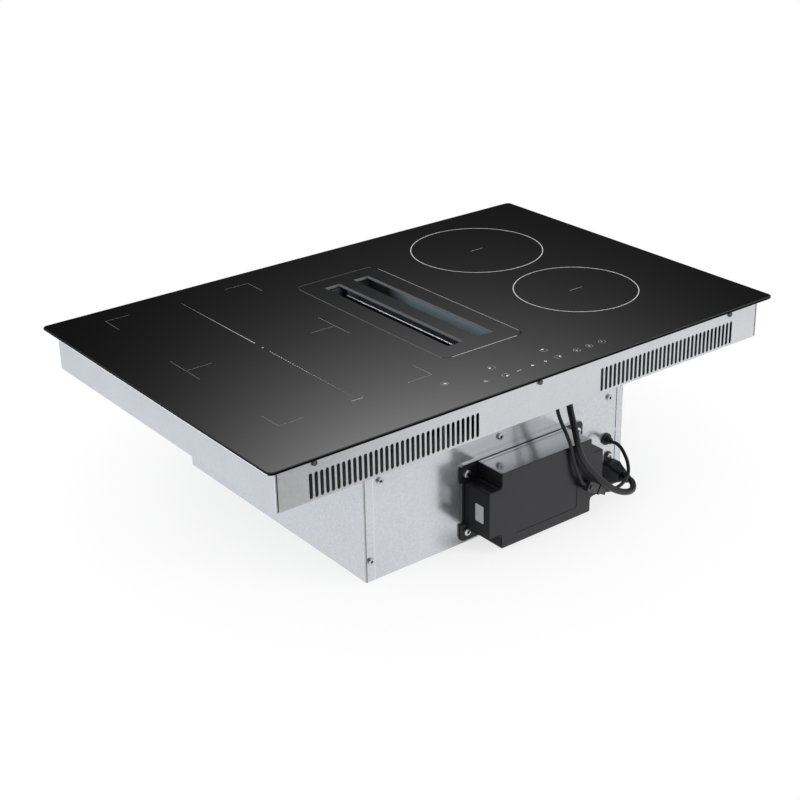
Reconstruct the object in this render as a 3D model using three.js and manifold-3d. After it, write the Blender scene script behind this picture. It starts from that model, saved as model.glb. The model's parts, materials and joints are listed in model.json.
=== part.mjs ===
// Built-in induction cooktop with a downdraft extractor in its middle.
// Millimetres, +Z up, +X to the user's right, -Y towards the user.
// The origin is on the underside of the extractor housing, below the centre of the glass.
import * as THREE from "three";
import { mergeVertices } from "three/addons/utils/BufferGeometryUtils.js";
import Module from "manifold-3d";

const wasm = await Module();
wasm.setup();

// ---------------------------------------------------------------- driving sizes

// glass
const glassWidth = 780;
const glassDepth = 520;
const glassThickness = 4;
const glassCornerRadius = 7;
const glassBevel = 0.8;
const sealWidth = 6.5;
const sealThickness = 2;
const sealInset = 6;

// pan below the glass
const panWidth = 750;
const panDepth = 494;
const panDrop = 57; // cooking surface to pan underside
const sheet = 1;
const panHeadroom = 1.5; // pan wall stops this far below the glass
const cornerSlit = 1.5;
const ventSlotCount = 33;
const ventSlotPitch = 7.2;
const ventSlotWidth = 4.5;
const ventSlotHeight = 31;
const ventSlotFloorGap = 2.2; // slot foot above the pan underside
const ventSlotCentres = [-216, 211];
const frontScrewPlaces = [-326, -6, 322];
const frontScrewDrop = 13; // screws below the cooking surface

// frame bonded under the glass
const frameHeight = 17;
const frameShelf = 12;
const bondThickness = 1;
const bondWidth = 6;

// extractor housing
const housingHeight = 165;
const housingLeft = -228.4;
const housingRight = 183.4;
const housingFront = -198.4;
const housingBack = 194;
const plateGap = 1.5; // open joint between front plate and side flange
const sideFlange = 10.6; // flange beside the front plate
const plateSetting = 0.5; // front plate to the folds behind it
const foldWidth = 14;
const leftFoldWidth = 28;
const rightFoldWidth = 3;
const bottomFoldHeight = 14;
const bottomFoldEnd = 140;
const crossRailZ = 127;
const crossRailHeight = 22;
const platePlaces = [
  [-206, 127.5],
  [-222, 27.5],
  [-25, 126.5],
  [158, 123.5],
  [130, 8],
];
const gapTabFoot = 72; // tab that bridges the open joint
const gapTabHeight = 5;

// opening in the glass and what hangs in it
const ventCentreX = -4.5;
const ventCentreY = 9.5;
const coverWidth = 128;
const coverLength = 314;
const coverCornerRadius = 12;
const coverGap = 0.6; // joint round the cover
const coverSlotWidth = 24.8;
const coverSlotLength = 259;
const coverSlotSpacing = 47.2;
const coverSlotShift = 1.1; // the slots sit this much right of and behind the cover's middle
const coverSlotRadius = 1.5;
const cushionHeight = 0.5;
const cushionWidth = 3;
const ledgeWidth = 9; // well flange under the cover's rim
const wellCornerRadius = 8;
const wellFlange = 17;
const wellWall = 1.2;
const wellDraft = 2; // each side draws in by this over the well's height
const wellFoot = 14; // well below the pan underside
const filterDrop = 4; // filter frame top below the well's flange
const filterGap = 1.6; // filter frame to well wall
const filterShelf = 5.5; // shelves in the well that carry the filter
const filterShelfLength = 240;
const filterFrameHeight = 12;
const filterFrameBar = 7;
const filterDepth = 58; // filter frame top to keel
const filterThickness = 7;
const cheekThickness = 1.5;
const handleThickness = 2.4; // lengthwise bar under the cover's middle rib
const handleHeight = 16;
const handleDrop = 10; // bar top below the filter frame's top
const handleHookLength = 5;
const handleHookThickness = 1.5;
const handleHookRise = 8; // length of the upright at each end
const handleHoleLength = 92;
const handleHoleHeight = 9;
const trayWidth = 76;
const trayLength = 280;
const trayDepth = 22;
const trayWall = 1.5;
const trayCornerRadius = 8;
const trayX = 8;
const trayY = 10;

// cooking zones
const zoneInset = 177; // zone centre to the glass's side
const flexWidth = 213;
const flexBack = 223;
const flexMiddle = 25.5;
const flexFront = -172;
const roundBackY = 125.8;
const roundFrontY = -77;
const roundBackDiameter = 186;
const roundFrontDiameter = 165;
const coilGapToGlass = 4;
const coilWireWidth = 11;
const coilWireHeight = 5;
const coilPitch = 16;
const coilTurns = 4;
const coilInnerRadius = 20;
const coilSteps = 10;
const carrierThickness = 3;
const ferriteThickness = 3;
const ferriteWidth = 11;
const ferritesPerCoil = 6;
const sensorRadius = 8;
const screenThickness = 1.5;
const screenRadius = 14;
const postRadius = 4;
const postInset = 12;

// power electronics
const boardThickness = 1.6;
const boardWidth = 110;
const boardDepth = 190;
const boardInset = 70; // board centre to the pan's side
const boardY = -95;
const standoffHeight = 6;
const spacerRadius = 3.5;
const spacerInset = 6;
const boardPartsX = 32; // capacitors and chokes beyond the board's middle
const capacitorSize = 26;
const capacitorHeight = 22;
const capacitorPlaces = [61, 29];
const chokeRadius = 11;
const chokeHeight = 20;
const chokePlaces = [-8, -36];
const relayWidth = 32;
const relayDepth = 24;
const relayHeight = 16;
const relayX = 22; // relay short of the board's middle
const relayY = -66;
const heatSinkWidth = 46;
const heatSinkDepth = 90;
const heatSinkHeight = 20;
const heatSinkFoot = 4;
const heatSinkInset = 12; // heat sink to the board's back edge
const heatSinkFins = 6;
const heatSinkFin = 2;

// touch control
const touchDrop = 13; // board below the glass
const touchWidth = 264;
const touchDepth = 46;
const touchY = -214;
const touchTrayDepth = 9;
const touchKeyRadius = 4.5;
const touchKeysFront = [-71.8, -42.6, -22, -0.5, 19.8, 40, 70.5, 91.4, 112.3];
const touchKeysBack = [-112.3, -40.8, 40.2];
const touchFrontY = -228;
const touchBackY = -202;

// cooling fans in the pan
const fanSize = 80;
const fanHeight = 22;
const fanInset = 78; // fan centre to the pan's side
const fanY = 112;
const fanBore = 37;
const fanHubRadius = 15;
const fanBlades = 7;
const fanTipGap = 1.5;
const fanIntakePitch = 15;

// blower in the housing
const blowerX = -124;
const blowerY = -52;
const wheelRadius = 68;
const wheelInnerRadius = 55;
const wheelBlades = 28;
const wheelBladeHeight = 68;
const wheelDisc = 2;
const wheelLift = 12; // wheel above the scroll floor
const scrollTongueRadius = 76;
const scrollMouthRadius = 97;
const scrollWall = 2;
const scrollFloorZ = 12;
const scrollInnerHeight = 92;
const scrollMouthWidth = 65;
const scrollMouthY = 44;
const scrollFootRadius = 7;
const scrollFeet = [
  [-60, -45],
  [55, -45],
  [10, 62],
];
const inletRadius = 52;
const inletBell = 9.5;
const rotorRadius = 31;
const rotorWall = 3;
const rotorHeight = 30;
const statorGap = 1.2;
const statorPilot = 20;
const shaftRadius = 4;
const bearingRadius = 11;
const bearingHeight = 7;
const bearingDrop = 16; // upper bearing's foot below the rotor's top
const statorFlange = 4;
const runningGap = 0.3;

// exhaust outlet, for flat duct
const outletWidth = 222;
const outletHeight = 89;
const outletWall = 2;
const outletCollar = 28;
const outletFlange = 11;
const outletInset = 12.4; // outlet's side to the housing's left side
const outletZ = 66;

// control box on the housing front
const boxCentreX = 10.5;
const boxCentreZ = 56;
const boxWidth = 186;
const boxHeight = 101;
const boxNotch = 20;
const boxDepth = 48;
const boxBaseDepth = 9;
const boxWall = 2.2;
const boxEdgeRadius = 2;
const boxNotchRadius = 5;
const boxPanelWidth = 102;
const boxPanelHeight = 66;
const boxPanelDepth = 0.5;
const earPlate = 3;
const earOverhang = 7;
const earSetback = 1.8; // base edge beside the box between the ears
const earScrewInset = 10;
const leadWayWidth = 30; // way for the leads through the plate behind the box
const leadWayHeight = 14;
const controlBoardWidth = 132;
const controlBoardHeight = 56;
const controlPostRadius = 2.5;
const controlPostInset = 5.5;
const controlParts = [
  { x: -42, z: 8, width: 34, height: 28, depth: 28 },
  { x: -4, z: 10, width: 20, height: 15, depth: 16 },
  { x: 20, z: 10, width: 20, height: 15, depth: 16 },
  { x: 46, z: 6, width: 14, height: 30, depth: 22 },
  { x: 0, z: -17, width: 60, height: 9, depth: 12 },
];

// socket, plug, leads
const socketX = 160;
const socketZ = 19.3;
const socketFlange = 2;
const socketBodyWidth = 17;
const socketBodyHeight = 24;
const socketLugRadius = 5.5;
const socketLugRise = 21.5;
const plugWidth = 21;
const plugHeight = 29.5;
const plugLength = 26;
const plugRise = 2; // cable end above the plug's middle
const plugTailRadius = 5.6;
const plugTailLength = 10;
const supplyDiameter = 8.2;
const signalDiameter = 4.6;
const grommetX = 155.5;
const grommetZ = 65.5;
const grommetHole = 6;
const grommetReach = 9;
const supplyExit = { x: 60.5, y: -228, hole: 7 };
const signalExit = { x: 38.4, y: -230, hole: 4.8 };
const panGrommetDrop = 3;
const glandInset = 40; // mains gland to the pan's right side
const glandRise = 24; // mains gland above the pan underside
const glandHole = 9;
const glandBore = 5.5;
const terminalWidth = 56;
const terminalDepth = 32;
const terminalSetback = 55; // terminal block's front to the pan's back
const terminalFoot = 10;
const terminalHeight = 22;
const polePitch = 10;
const poleWidth = 8;
const poleInset = 4;

// fasteners
const screwHeadRadius = 3.9;
const screwHeadHeight = 2.2;
const screwShankRadius = 1.9;
const screwLength = 7;
const earScrewHeadRadius = 4.6;
const earScrewHeadHeight = 2.6;
const lugScrewHeadRadius = 3.2;
const lugScrewHeadHeight = 1.8;
const seatGap = 0.3; // a cut or turned piece keeps this to its neighbour
const headSeat = 0.05; // screw heads and wall flanges off the sheet

// ---------------------------------------------------------------- worked-out levels

const panUnderZ = housingHeight;
const glassTopZ = panUnderZ + panDrop;
const glassUnderZ = glassTopZ - glassThickness;
const panFloorZ = panUnderZ + sheet;
const panTopZ = glassUnderZ - panHeadroom;
const panFront = -panDepth / 2;
const panBack = panDepth / 2;
const panLeft = -panWidth / 2;
const panRight = panWidth / 2;
const zoneX = glassWidth / 2 - zoneInset;
const boardX = panRight - boardInset;
const fanX = panRight - fanInset;
const glandX = panRight - glandInset;
const outletX = housingLeft + outletInset + outletWidth / 2;
const frontScrewZ = glassTopZ - frontScrewDrop;
const frameTopZ = glassUnderZ - bondThickness;
const wellTopZ = glassUnderZ - cushionHeight;
const wellFootZ = panUnderZ - wellFoot;
const filterTopZ = wellTopZ - filterDrop;
const filterSeatZ = filterTopZ - filterFrameHeight;
const filterFootZ = filterTopZ - filterDepth;
const coilTopZ = glassUnderZ - coilGapToGlass;
const coilUnderZ = coilTopZ - coilWireHeight;
const carrierUnderZ = coilUnderZ - carrierThickness;
const ferriteUnderZ = carrierUnderZ - ferriteThickness;
const screenUnderZ = ferriteUnderZ - screenThickness;
const boardUnderZ = panFloorZ + standoffHeight;
const boardTopZ = boardUnderZ + boardThickness;
const touchBoardZ = glassUnderZ - touchDrop;
const glandZ = panUnderZ + glandRise;
const scrollInnerZ = scrollFloorZ + scrollWall;
const scrollTopZ = scrollInnerZ + scrollInnerHeight;
const wheelFootZ = scrollInnerZ + wheelLift;
const wheelTopZ = wheelFootZ + wheelDisc + wheelBladeHeight;
const rotorFootZ = wheelFootZ + wheelDisc;
const rotorTopZ = rotorFootZ + rotorHeight;
const boxFront = housingFront - boxDepth;
const boxBaseFront = housingFront - boxBaseDepth;
const earFront = housingFront - earPlate;
const frontPlateRight = housingRight - sideFlange - plateGap;
const flangeLeft = housingRight - sideFlange;
const socketFront = housingFront - socketFlange;
const socketLugZ = socketZ + socketLugRise;
const plugFace = socketFront - headSeat;
const plugNose = plugFace - plugLength;
const plugTailZ = socketZ + plugRise;

// ---------------------------------------------------------------- geometry tools

// Corners are rounded to a micron, so that faces meant to lie in one plane do.
const toMicron = (length) => Math.round(length * 1000) / 1000;

const solid = (geometry) => {
  const bare = geometry.index ? geometry.toNonIndexed() : geometry.clone();
  bare.deleteAttribute("normal");
  bare.deleteAttribute("uv");
  const merged = mergeVertices(bare, 1e-3);
  const vertProperties = merged.attributes.position.array.map(toMicron);
  const triVerts = [];
  for (let i = 0; i < merged.index.count; i += 3) {
    const [a, b, c] = merged.index.array.subarray(i, i + 3);
    if (a !== b && b !== c && c !== a) triVerts.push(a, b, c);
  }
  return new wasm.Manifold(
    new wasm.Mesh({ numProp: 3, vertProperties, triVerts: new Uint32Array(triVerts) }),
  );
};

const geometryOf = (body) => {
  const mesh = body.getMesh();
  const points = new Float32Array(mesh.numVert * 3);
  for (let i = 0; i < mesh.numVert; i += 1) {
    const start = i * mesh.numProp;
    points.set(mesh.vertProperties.subarray(start, start + 3), i * 3);
  }
  const geometry = new THREE.BufferGeometry();
  geometry.setAttribute("position", new THREE.BufferAttribute(points, 3));
  geometry.setIndex(new THREE.BufferAttribute(new Uint32Array(mesh.triVerts), 1));
  const flat = geometry.toNonIndexed();
  flat.computeVertexNormals();
  return flat;
};

const asSolid = (piece) => (piece.getMesh ? piece : solid(piece));
const join = (...pieces) => pieces.map(asSolid).reduce((whole, piece) => whole.add(piece));
const cut = (body, ...tools) => tools.map(asSolid).reduce((left, tool) => left.subtract(tool), asSolid(body));

const box = (x0, x1, y0, y1, z0, z1) =>
  new THREE.BoxGeometry(x1 - x0, y1 - y0, z1 - z0).translate((x0 + x1) / 2, (y0 + y1) / 2, (z0 + z1) / 2);

const cylinder = (radius, x, y, z0, z1, sides = 16, topRadius = radius) =>
  new THREE.CylinderGeometry(topRadius, radius, z1 - z0, sides)
    .rotateX(Math.PI / 2)
    .translate(x, y, (z0 + z1) / 2);

const cylinderY = (radius, x, z, y0, y1, sides = 12) =>
  new THREE.CylinderGeometry(radius, radius, y1 - y0, sides).translate(x, (y0 + y1) / 2, z);

const rect = (x0, x1, y0, y1) => {
  const shape = new THREE.Shape();
  shape.moveTo(x0, y0);
  shape.lineTo(x1, y0);
  shape.lineTo(x1, y1);
  shape.lineTo(x0, y1);
  return shape;
};

const roundedRect = (width, height, radius, cx = 0, cy = 0) => {
  const w = width / 2;
  const h = height / 2;
  const r = Math.min(radius, w * 0.98, h * 0.98);
  const shape = new THREE.Shape();
  shape.moveTo(cx - w + r, cy - h);
  shape.lineTo(cx + w - r, cy - h);
  shape.absarc(cx + w - r, cy - h + r, r, -Math.PI / 2, 0);
  shape.lineTo(cx + w, cy + h - r);
  shape.absarc(cx + w - r, cy + h - r, r, 0, Math.PI / 2);
  shape.lineTo(cx - w + r, cy + h);
  shape.absarc(cx - w + r, cy + h - r, r, Math.PI / 2, Math.PI);
  shape.lineTo(cx - w, cy - h + r);
  shape.absarc(cx - w + r, cy - h + r, r, Math.PI, Math.PI * 1.5);
  return shape;
};

const circle = (radius, cx = 0, cy = 0, sides = 16) =>
  new THREE.Shape(
    Array.from({ length: sides }, (_, i) => {
      const angle = ((i + 0.5) / sides) * Math.PI * 2;
      return new THREE.Vector2(cx + radius * Math.cos(angle), cy + radius * Math.sin(angle));
    }),
  );

// A slot with round ends, its length turned by the given angle.
const longHole = (length, width, cx, cy, turn = 0) =>
  new THREE.Shape(
    Array.from({ length: 8 }, (_, i) => {
      const angle = (Math.floor(i / 4) + (i % 4) / 3 - 0.5) * Math.PI;
      const end = i < 4 ? length / 2 - width / 2 : width / 2 - length / 2;
      const point = new THREE.Vector2(end, 0).add(new THREE.Vector2(width / 2, 0).rotateAround(origin, angle));
      return point.rotateAround(origin, turn).add(new THREE.Vector2(cx, cy));
    }),
  );
const origin = new THREE.Vector2();

const withHoles = (shape, ...holes) => {
  shape.holes.push(...holes);
  return shape;
};

const extrude = (shape, depth, curveSegments, bevel) =>
  new THREE.ExtrudeGeometry(shape, {
    depth: depth - bevel * 2,
    curveSegments,
    bevelEnabled: bevel > 0,
    bevelThickness: bevel,
    bevelSize: bevel,
    bevelOffset: -bevel,
    bevelSegments: 1,
  }).translate(0, 0, bevel);

// A plate whose outline lies in the XY plane, from z0 up to z1.
const layer = (shape, z0, z1, curveSegments = 1, bevel = 0) =>
  extrude(shape, z1 - z0, curveSegments, bevel).translate(0, 0, z0);

// A plate whose outline is drawn in X and Z, from yFront back to yBack.
const wall = (shape, yFront, yBack, curveSegments = 1, bevel = 0) =>
  extrude(shape, yBack - yFront, curveSegments, bevel)
    .rotateX(Math.PI / 2)
    .translate(0, yBack, 0);

const revolve = (profile, segments) =>
  new THREE.LatheGeometry(
    profile.map(([r, z]) => new THREE.Vector2(r, z)),
    segments,
  ).rotateX(Math.PI / 2);

// A loop of points at one level, or standing across the Y axis.
const outlineOf = (shape) => {
  const points = shape.getPoints(1);
  return points[0].distanceTo(points[points.length - 1]) < 1e-3 ? points.slice(0, -1) : points;
};
const loopAtZ = (shape, z) => outlineOf(shape).map((p) => new THREE.Vector3(p.x, p.y, z));
const loopAtY = (shape, y) =>
  outlineOf(shape)
    .reverse()
    .map((p) => new THREE.Vector3(p.x, y, p.y));

const meshOf = (points, faces) => {
  const geometry = new THREE.BufferGeometry();
  const positions = new Float32Array(points.flatMap((p) => [p.x, p.y, p.z]));
  geometry.setAttribute("position", new THREE.BufferAttribute(positions, 3));
  geometry.setIndex(faces);
  return geometry;
};

// A closed body through loops that all hold the same number of points.
const loft = (loops) => {
  const count = loops[0].length;
  const faces = [];
  loops.slice(1).forEach((_, s) => {
    for (let i = 0; i < count; i += 1) {
      const a = s * count + i;
      const b = s * count + ((i + 1) % count);
      faces.push(a, b, b + count, a, b + count, a + count);
    }
  });
  const end = (loops.length - 1) * count;
  for (let i = 1; i < count - 1; i += 1) faces.push(0, i + 1, i, end, end + i, end + i + 1);
  return meshOf(loops.flat(), faces);
};

// An open pipe: the loft of its outside less the loft of its inside.
const sleeve = (outerLoops, innerLoops) => {
  const loops = [...outerLoops, ...innerLoops.slice().reverse()];
  const count = loops[0].length;
  const faces = [];
  loops.forEach((_, s) => {
    const next = ((s + 1) % loops.length) * count;
    for (let i = 0; i < count; i += 1) {
      const a = s * count + i;
      const b = s * count + ((i + 1) % count);
      const c = next + ((i + 1) % count);
      faces.push(a, b, c, a, c, next + i);
    }
  });
  return meshOf(loops.flat(), faces);
};

// ---------------------------------------------------------------- screws

// A pan-head screw: its head stands on z = 0 and its shank runs down.
const screw = (headRadius, headHeight, length) =>
  revolve(
    [
      [0, -length],
      [screwShankRadius, -length],
      [screwShankRadius, 0],
      [headRadius, 0],
      [headRadius * 0.85, headHeight],
      [0, headHeight],
    ],
    6,
  );

// The same screw driven through a face that looks towards the front or the back.
const screwInWall = (x, y, z, side, head = screwHeadRadius, height = screwHeadHeight, length = screwLength) =>
  screw(head, height, length)
    .rotateX((-side * Math.PI) / 2)
    .translate(x, y + side * headSeat, z);

const screwClearance = (x, z) => circle(screwShankRadius + seatGap * 1.5, x, z, 8);

// ---------------------------------------------------------------- glass top

const ventOpening = (grow) =>
  roundedRect(
    coverWidth + grow * 2,
    coverLength + grow * 2,
    coverCornerRadius + grow,
    ventCentreX,
    ventCentreY,
  );

const glassTop = () => {
  const outline = roundedRect(glassWidth, glassDepth, glassCornerRadius);
  const slab = layer(outline, glassUnderZ, glassTopZ, 2, glassBevel);
  return cut(slab, layer(ventOpening(coverGap), glassUnderZ - 1, glassTopZ + 1, 2));
};

const rimSeal = () => {
  const rim = (inset) =>
    roundedRect(glassWidth - inset * 2, glassDepth - inset * 2, Math.max(glassCornerRadius - inset, 0.5));
  return layer(
    withHoles(rim(sealInset), rim(sealInset + sealWidth)),
    glassUnderZ - sealThickness,
    glassUnderZ,
  );
};

// Angle frame all round, bonded under the glass; the pan is screwed to its web.
const frameReach = (inset) => rect(panLeft + inset, panRight - inset, panFront + inset, panBack - inset);

const glassFrame = () => {
  const outside = sheet + seatGap;
  const web = layer(
    withHoles(frameReach(outside), frameReach(outside + sheet)),
    frameTopZ - frameHeight,
    frameTopZ,
  );
  const shelf = layer(
    withHoles(frameReach(outside), frameReach(outside + frameShelf)),
    frameTopZ - sheet,
    frameTopZ,
  );
  const screws = [-1, 1].flatMap((side) =>
    frontScrewPlaces.map((x) => screwInWall(x, (side * panDepth) / 2, frontScrewZ, side)),
  );
  return join(web, shelf, ...screws);
};

const frameBond = () => {
  const edge = sheet + seatGap + (frameShelf - bondWidth) / 2;
  return layer(withHoles(frameReach(edge), frameReach(edge + bondWidth)), frameTopZ, glassUnderZ);
};

// ---------------------------------------------------------------- vent cover

const coverSlot = (side) =>
  roundedRect(
    coverSlotWidth,
    coverSlotLength,
    coverSlotRadius,
    ventCentreX + coverSlotShift + (side * coverSlotSpacing) / 2,
    ventCentreY + coverSlotShift,
  );

const ventCover = () => {
  const plate = layer(ventOpening(0), glassUnderZ, glassTopZ, 2, glassBevel * 0.75);
  return cut(plate, ...[-1, 1].map((side) => layer(coverSlot(side), glassUnderZ - 1, glassTopZ + 1)));
};

const coverCushion = () => {
  const edge = (ledgeWidth - cushionWidth) / 2;
  return layer(withHoles(ventOpening(-edge), ventOpening(-edge - cushionWidth)), wellTopZ, glassUnderZ);
};

// ---------------------------------------------------------------- well between glass and housing

const wellOutline = (wallOut, draft = 0) =>
  roundedRect(
    coverWidth - (ledgeWidth - wallOut + draft) * 2,
    coverLength - (ledgeWidth - wallOut + draft) * 2,
    wellCornerRadius,
    ventCentreX,
    ventCentreY,
  );

const wellDuct = () => {
  const walls = sleeve(
    [loopAtZ(wellOutline(wellWall, wellDraft), wellFootZ), loopAtZ(wellOutline(wellWall), wellTopZ)],
    [loopAtZ(wellOutline(0, wellDraft), wellFootZ), loopAtZ(wellOutline(0), wellTopZ)],
  );
  const flange = layer(withHoles(wellOutline(wellFlange), wellOutline(0)), wellTopZ - wellWall, wellTopZ);
  const shelves = [-1, 1].map((side) => {
    const root = coverWidth / 2 - ledgeWidth + wellWall / 4;
    const ends = [ventCentreX + side * (root - filterShelf), ventCentreX + side * root].sort((a, b) => a - b);
    return box(
      ends[0],
      ends[1],
      ventCentreY - filterShelfLength / 2,
      ventCentreY + filterShelfLength / 2,
      filterSeatZ - 1.5,
      filterSeatZ,
    );
  });
  return join(walls, flange, ...shelves);
};

// Bead of adhesive that holds the well's flange to the glass.
const wellBond = () =>
  layer(withHoles(ventOpening(wellFlange - ledgeWidth - 1.5), ventOpening(coverGap + 1.5)), wellTopZ, glassUnderZ);

// ---------------------------------------------------------------- grease filter

const filterHalfX = coverWidth / 2 - ledgeWidth - filterGap - wellDraft;
const filterHalfY = coverLength / 2 - ledgeWidth - filterGap - wellDraft;

const filterFrame = () => {
  const ring = layer(
    withHoles(
      roundedRect(filterHalfX * 2, filterHalfY * 2, wellCornerRadius - filterGap),
      rect(
        filterFrameBar - filterHalfX,
        filterHalfX - filterFrameBar,
        filterFrameBar - filterHalfY,
        filterHalfY - filterFrameBar,
      ),
    ),
    filterSeatZ,
    filterTopZ,
  );
  const cheek = new THREE.Shape();
  const shoulder = filterHalfX - filterShelf - seatGap;
  cheek.moveTo(-shoulder, filterTopZ - 1);
  cheek.lineTo(-shoulder, filterSeatZ);
  cheek.lineTo(-filterThickness, filterFootZ);
  cheek.lineTo(filterThickness, filterFootZ);
  cheek.lineTo(shoulder, filterSeatZ);
  cheek.lineTo(shoulder, filterTopZ - 1);
  const inset = wellCornerRadius / 2;
  const cheeks = [-1, 1].map((side) => {
    const ends = [side * (filterHalfY - inset), side * (filterHalfY - inset - cheekThickness)];
    return wall(cheek, Math.min(...ends), Math.max(...ends));
  });
  return join(ring, ...cheeks).translate([ventCentreX, ventCentreY, 0]);
};

// Two sloping packs of expanded metal that meet in a keel, as a V across the well.
const filterMesh = () => {
  const shoulder = filterHalfX - filterShelf - seatGap;
  const top = filterSeatZ - seatGap;
  const inner = shoulder - filterThickness * 1.2;
  const pack = new THREE.Shape();
  pack.moveTo(-shoulder, top);
  pack.lineTo(-filterThickness * 0.7, filterFootZ);
  pack.lineTo(filterThickness * 0.7, filterFootZ);
  pack.lineTo(shoulder, top);
  pack.lineTo(inner, top);
  pack.lineTo(0, filterFootZ + filterThickness);
  pack.lineTo(-inner, top);
  const reach = filterHalfY - wellCornerRadius / 2 - cheekThickness - seatGap;
  return wall(pack, -reach, reach).translate(ventCentreX, ventCentreY, 0);
};

// Lengthwise bar to lift the filter by, hooked over the frame's two ends.
const filterHandle = () => {
  const reach = filterHalfY - filterFrameBar - seatGap;
  const hookEnd = reach + handleHookLength;
  const hookTop = filterTopZ + handleHookThickness;
  const barTop = filterTopZ - handleDrop;
  const barFoot = barTop - handleHeight;
  const bar = new THREE.Shape();
  bar.moveTo(-reach, barFoot);
  bar.lineTo(reach, barFoot);
  bar.lineTo(reach, filterTopZ);
  bar.lineTo(hookEnd, filterTopZ);
  bar.lineTo(hookEnd, hookTop);
  bar.lineTo(reach - handleHookRise, hookTop);
  bar.lineTo(reach - handleHookRise, barTop);
  bar.lineTo(handleHookRise - reach, barTop);
  bar.lineTo(handleHookRise - reach, hookTop);
  bar.lineTo(-hookEnd, hookTop);
  bar.lineTo(-hookEnd, filterTopZ);
  bar.lineTo(-reach, filterTopZ);
  bar.holes.push(longHole(handleHoleLength, handleHoleHeight, 0, barTop - handleHeight / 2));
  return wall(bar, -handleThickness / 2, handleThickness / 2)
    .rotateZ(Math.PI / 2)
    .translate(ventCentreX, ventCentreY, 0);
};

const dripTray = () => {
  const outline = (inset) =>
    roundedRect(trayWidth - inset * 2, trayLength - inset * 2, trayCornerRadius - inset, trayX, trayY);
  return cut(
    layer(outline(0), sheet, sheet + trayDepth),
    layer(outline(trayWall), sheet + trayWall, sheet + trayDepth + 1),
  );
};

// ---------------------------------------------------------------- pan

const ventSlotMiddle = panUnderZ + ventSlotFloorGap + ventSlotHeight / 2;
const ventSlot = (x) => longHole(ventSlotHeight, ventSlotWidth, x, ventSlotMiddle, Math.PI / 2);

const panEndWall = (holes) =>
  withHoles(
    rect(panLeft + cornerSlit + sheet, panRight - cornerSlit - sheet, panUnderZ, panTopZ),
    ...frontScrewPlaces.map((x) => screwClearance(x, frontScrewZ)),
    ...holes,
  );

const ventSlots = () => {
  const reach = (ventSlotCount - 1) / 2;
  return ventSlotCentres.flatMap((centre) =>
    Array.from({ length: ventSlotCount }, (_, i) => ventSlot(centre + (i - reach) * ventSlotPitch)),
  );
};

// Rows of slots in the floor below each cooling fan, inside the fan's circle.
const fanIntake = (side) =>
  [-1.5, -0.5, 0.5, 1.5].map((row) => {
    const offset = row * fanIntakePitch;
    const reach = Math.sqrt((fanBore - 5) ** 2 - offset ** 2);
    return longHole(reach * 2, fanIntakePitch * 0.6, side * fanX, fanY + offset);
  });

// Screws that hold the housing's top folds under the pan.
const housingScrewPlaces = [
  [housingLeft + foldWidth / 2, housingFront + 60],
  [housingLeft + foldWidth / 2, housingBack - 60],
  [housingRight - foldWidth / 2, housingFront + 60],
  [housingRight - foldWidth / 2, housingBack - 60],
];

const pan = () => {
  const floor = layer(
    withHoles(
      rect(panLeft, panRight, panFront, panBack),
      wellOutline(wellWall + seatGap),
      circle(supplyExit.hole, supplyExit.x, supplyExit.y, 10),
      circle(signalExit.hole, signalExit.x, signalExit.y, 10),
      ...fanIntake(-1),
      ...fanIntake(1),
    ),
    panUnderZ,
    panFloorZ,
  );
  const screws = housingScrewPlaces.map(([x, y]) =>
    screw(screwHeadRadius, screwHeadHeight, screwLength).translate(x, y, panFloorZ + headSeat),
  );
  return join(
    floor,
    box(panLeft, panLeft + sheet, panFront, panBack, panUnderZ, panTopZ),
    box(panRight - sheet, panRight, panFront, panBack, panUnderZ, panTopZ),
    wall(panEndWall(ventSlots()), panFront, panFront + sheet),
    wall(panEndWall([circle(glandHole + seatGap * 2, glandX, glandZ, 12)]), panBack - sheet, panBack),
    ...screws,
  );
};

// ---------------------------------------------------------------- induction coils

// A flat spiral winding: its outline follows the outer edge out and the inner edge back.
const winding = ({ x, y, rx, ry }) => {
  const total = coilTurns * coilSteps;
  const reach = coilInnerRadius + coilPitch * coilTurns + coilWireWidth;
  const edge = (offset) =>
    Array.from({ length: total + 1 }, (_, i) => {
      const angle = (i / coilSteps) * Math.PI * 2;
      const r = (coilInnerRadius + (coilPitch * i) / coilSteps + offset) / reach;
      return new THREE.Vector2(x + r * rx * Math.cos(angle), y + r * ry * Math.sin(angle));
    });
  return layer(new THREE.Shape([...edge(coilWireWidth), ...edge(0).reverse()]), coilUnderZ, coilTopZ);
};

const flexBackY = (flexBack + flexMiddle) / 2;
const flexFrontY = (flexFront + flexMiddle) / 2;
const flexReachX = flexWidth / 2 - 6;
const flexReachY = (flexBack - flexMiddle) / 2 - 5;
const coilPlan = {
  rear_left: { x: -zoneX, y: flexBackY, rx: flexReachX, ry: flexReachY },
  front_left: { x: -zoneX, y: flexFrontY, rx: flexReachX, ry: flexReachY },
  rear_right: { x: zoneX, y: roundBackY, rx: roundBackDiameter / 2 - 3, ry: roundBackDiameter / 2 - 3 },
  front_right: { x: zoneX, y: roundFrontY, rx: roundFrontDiameter / 2 - 3, ry: roundFrontDiameter / 2 - 3 },
};

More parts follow.
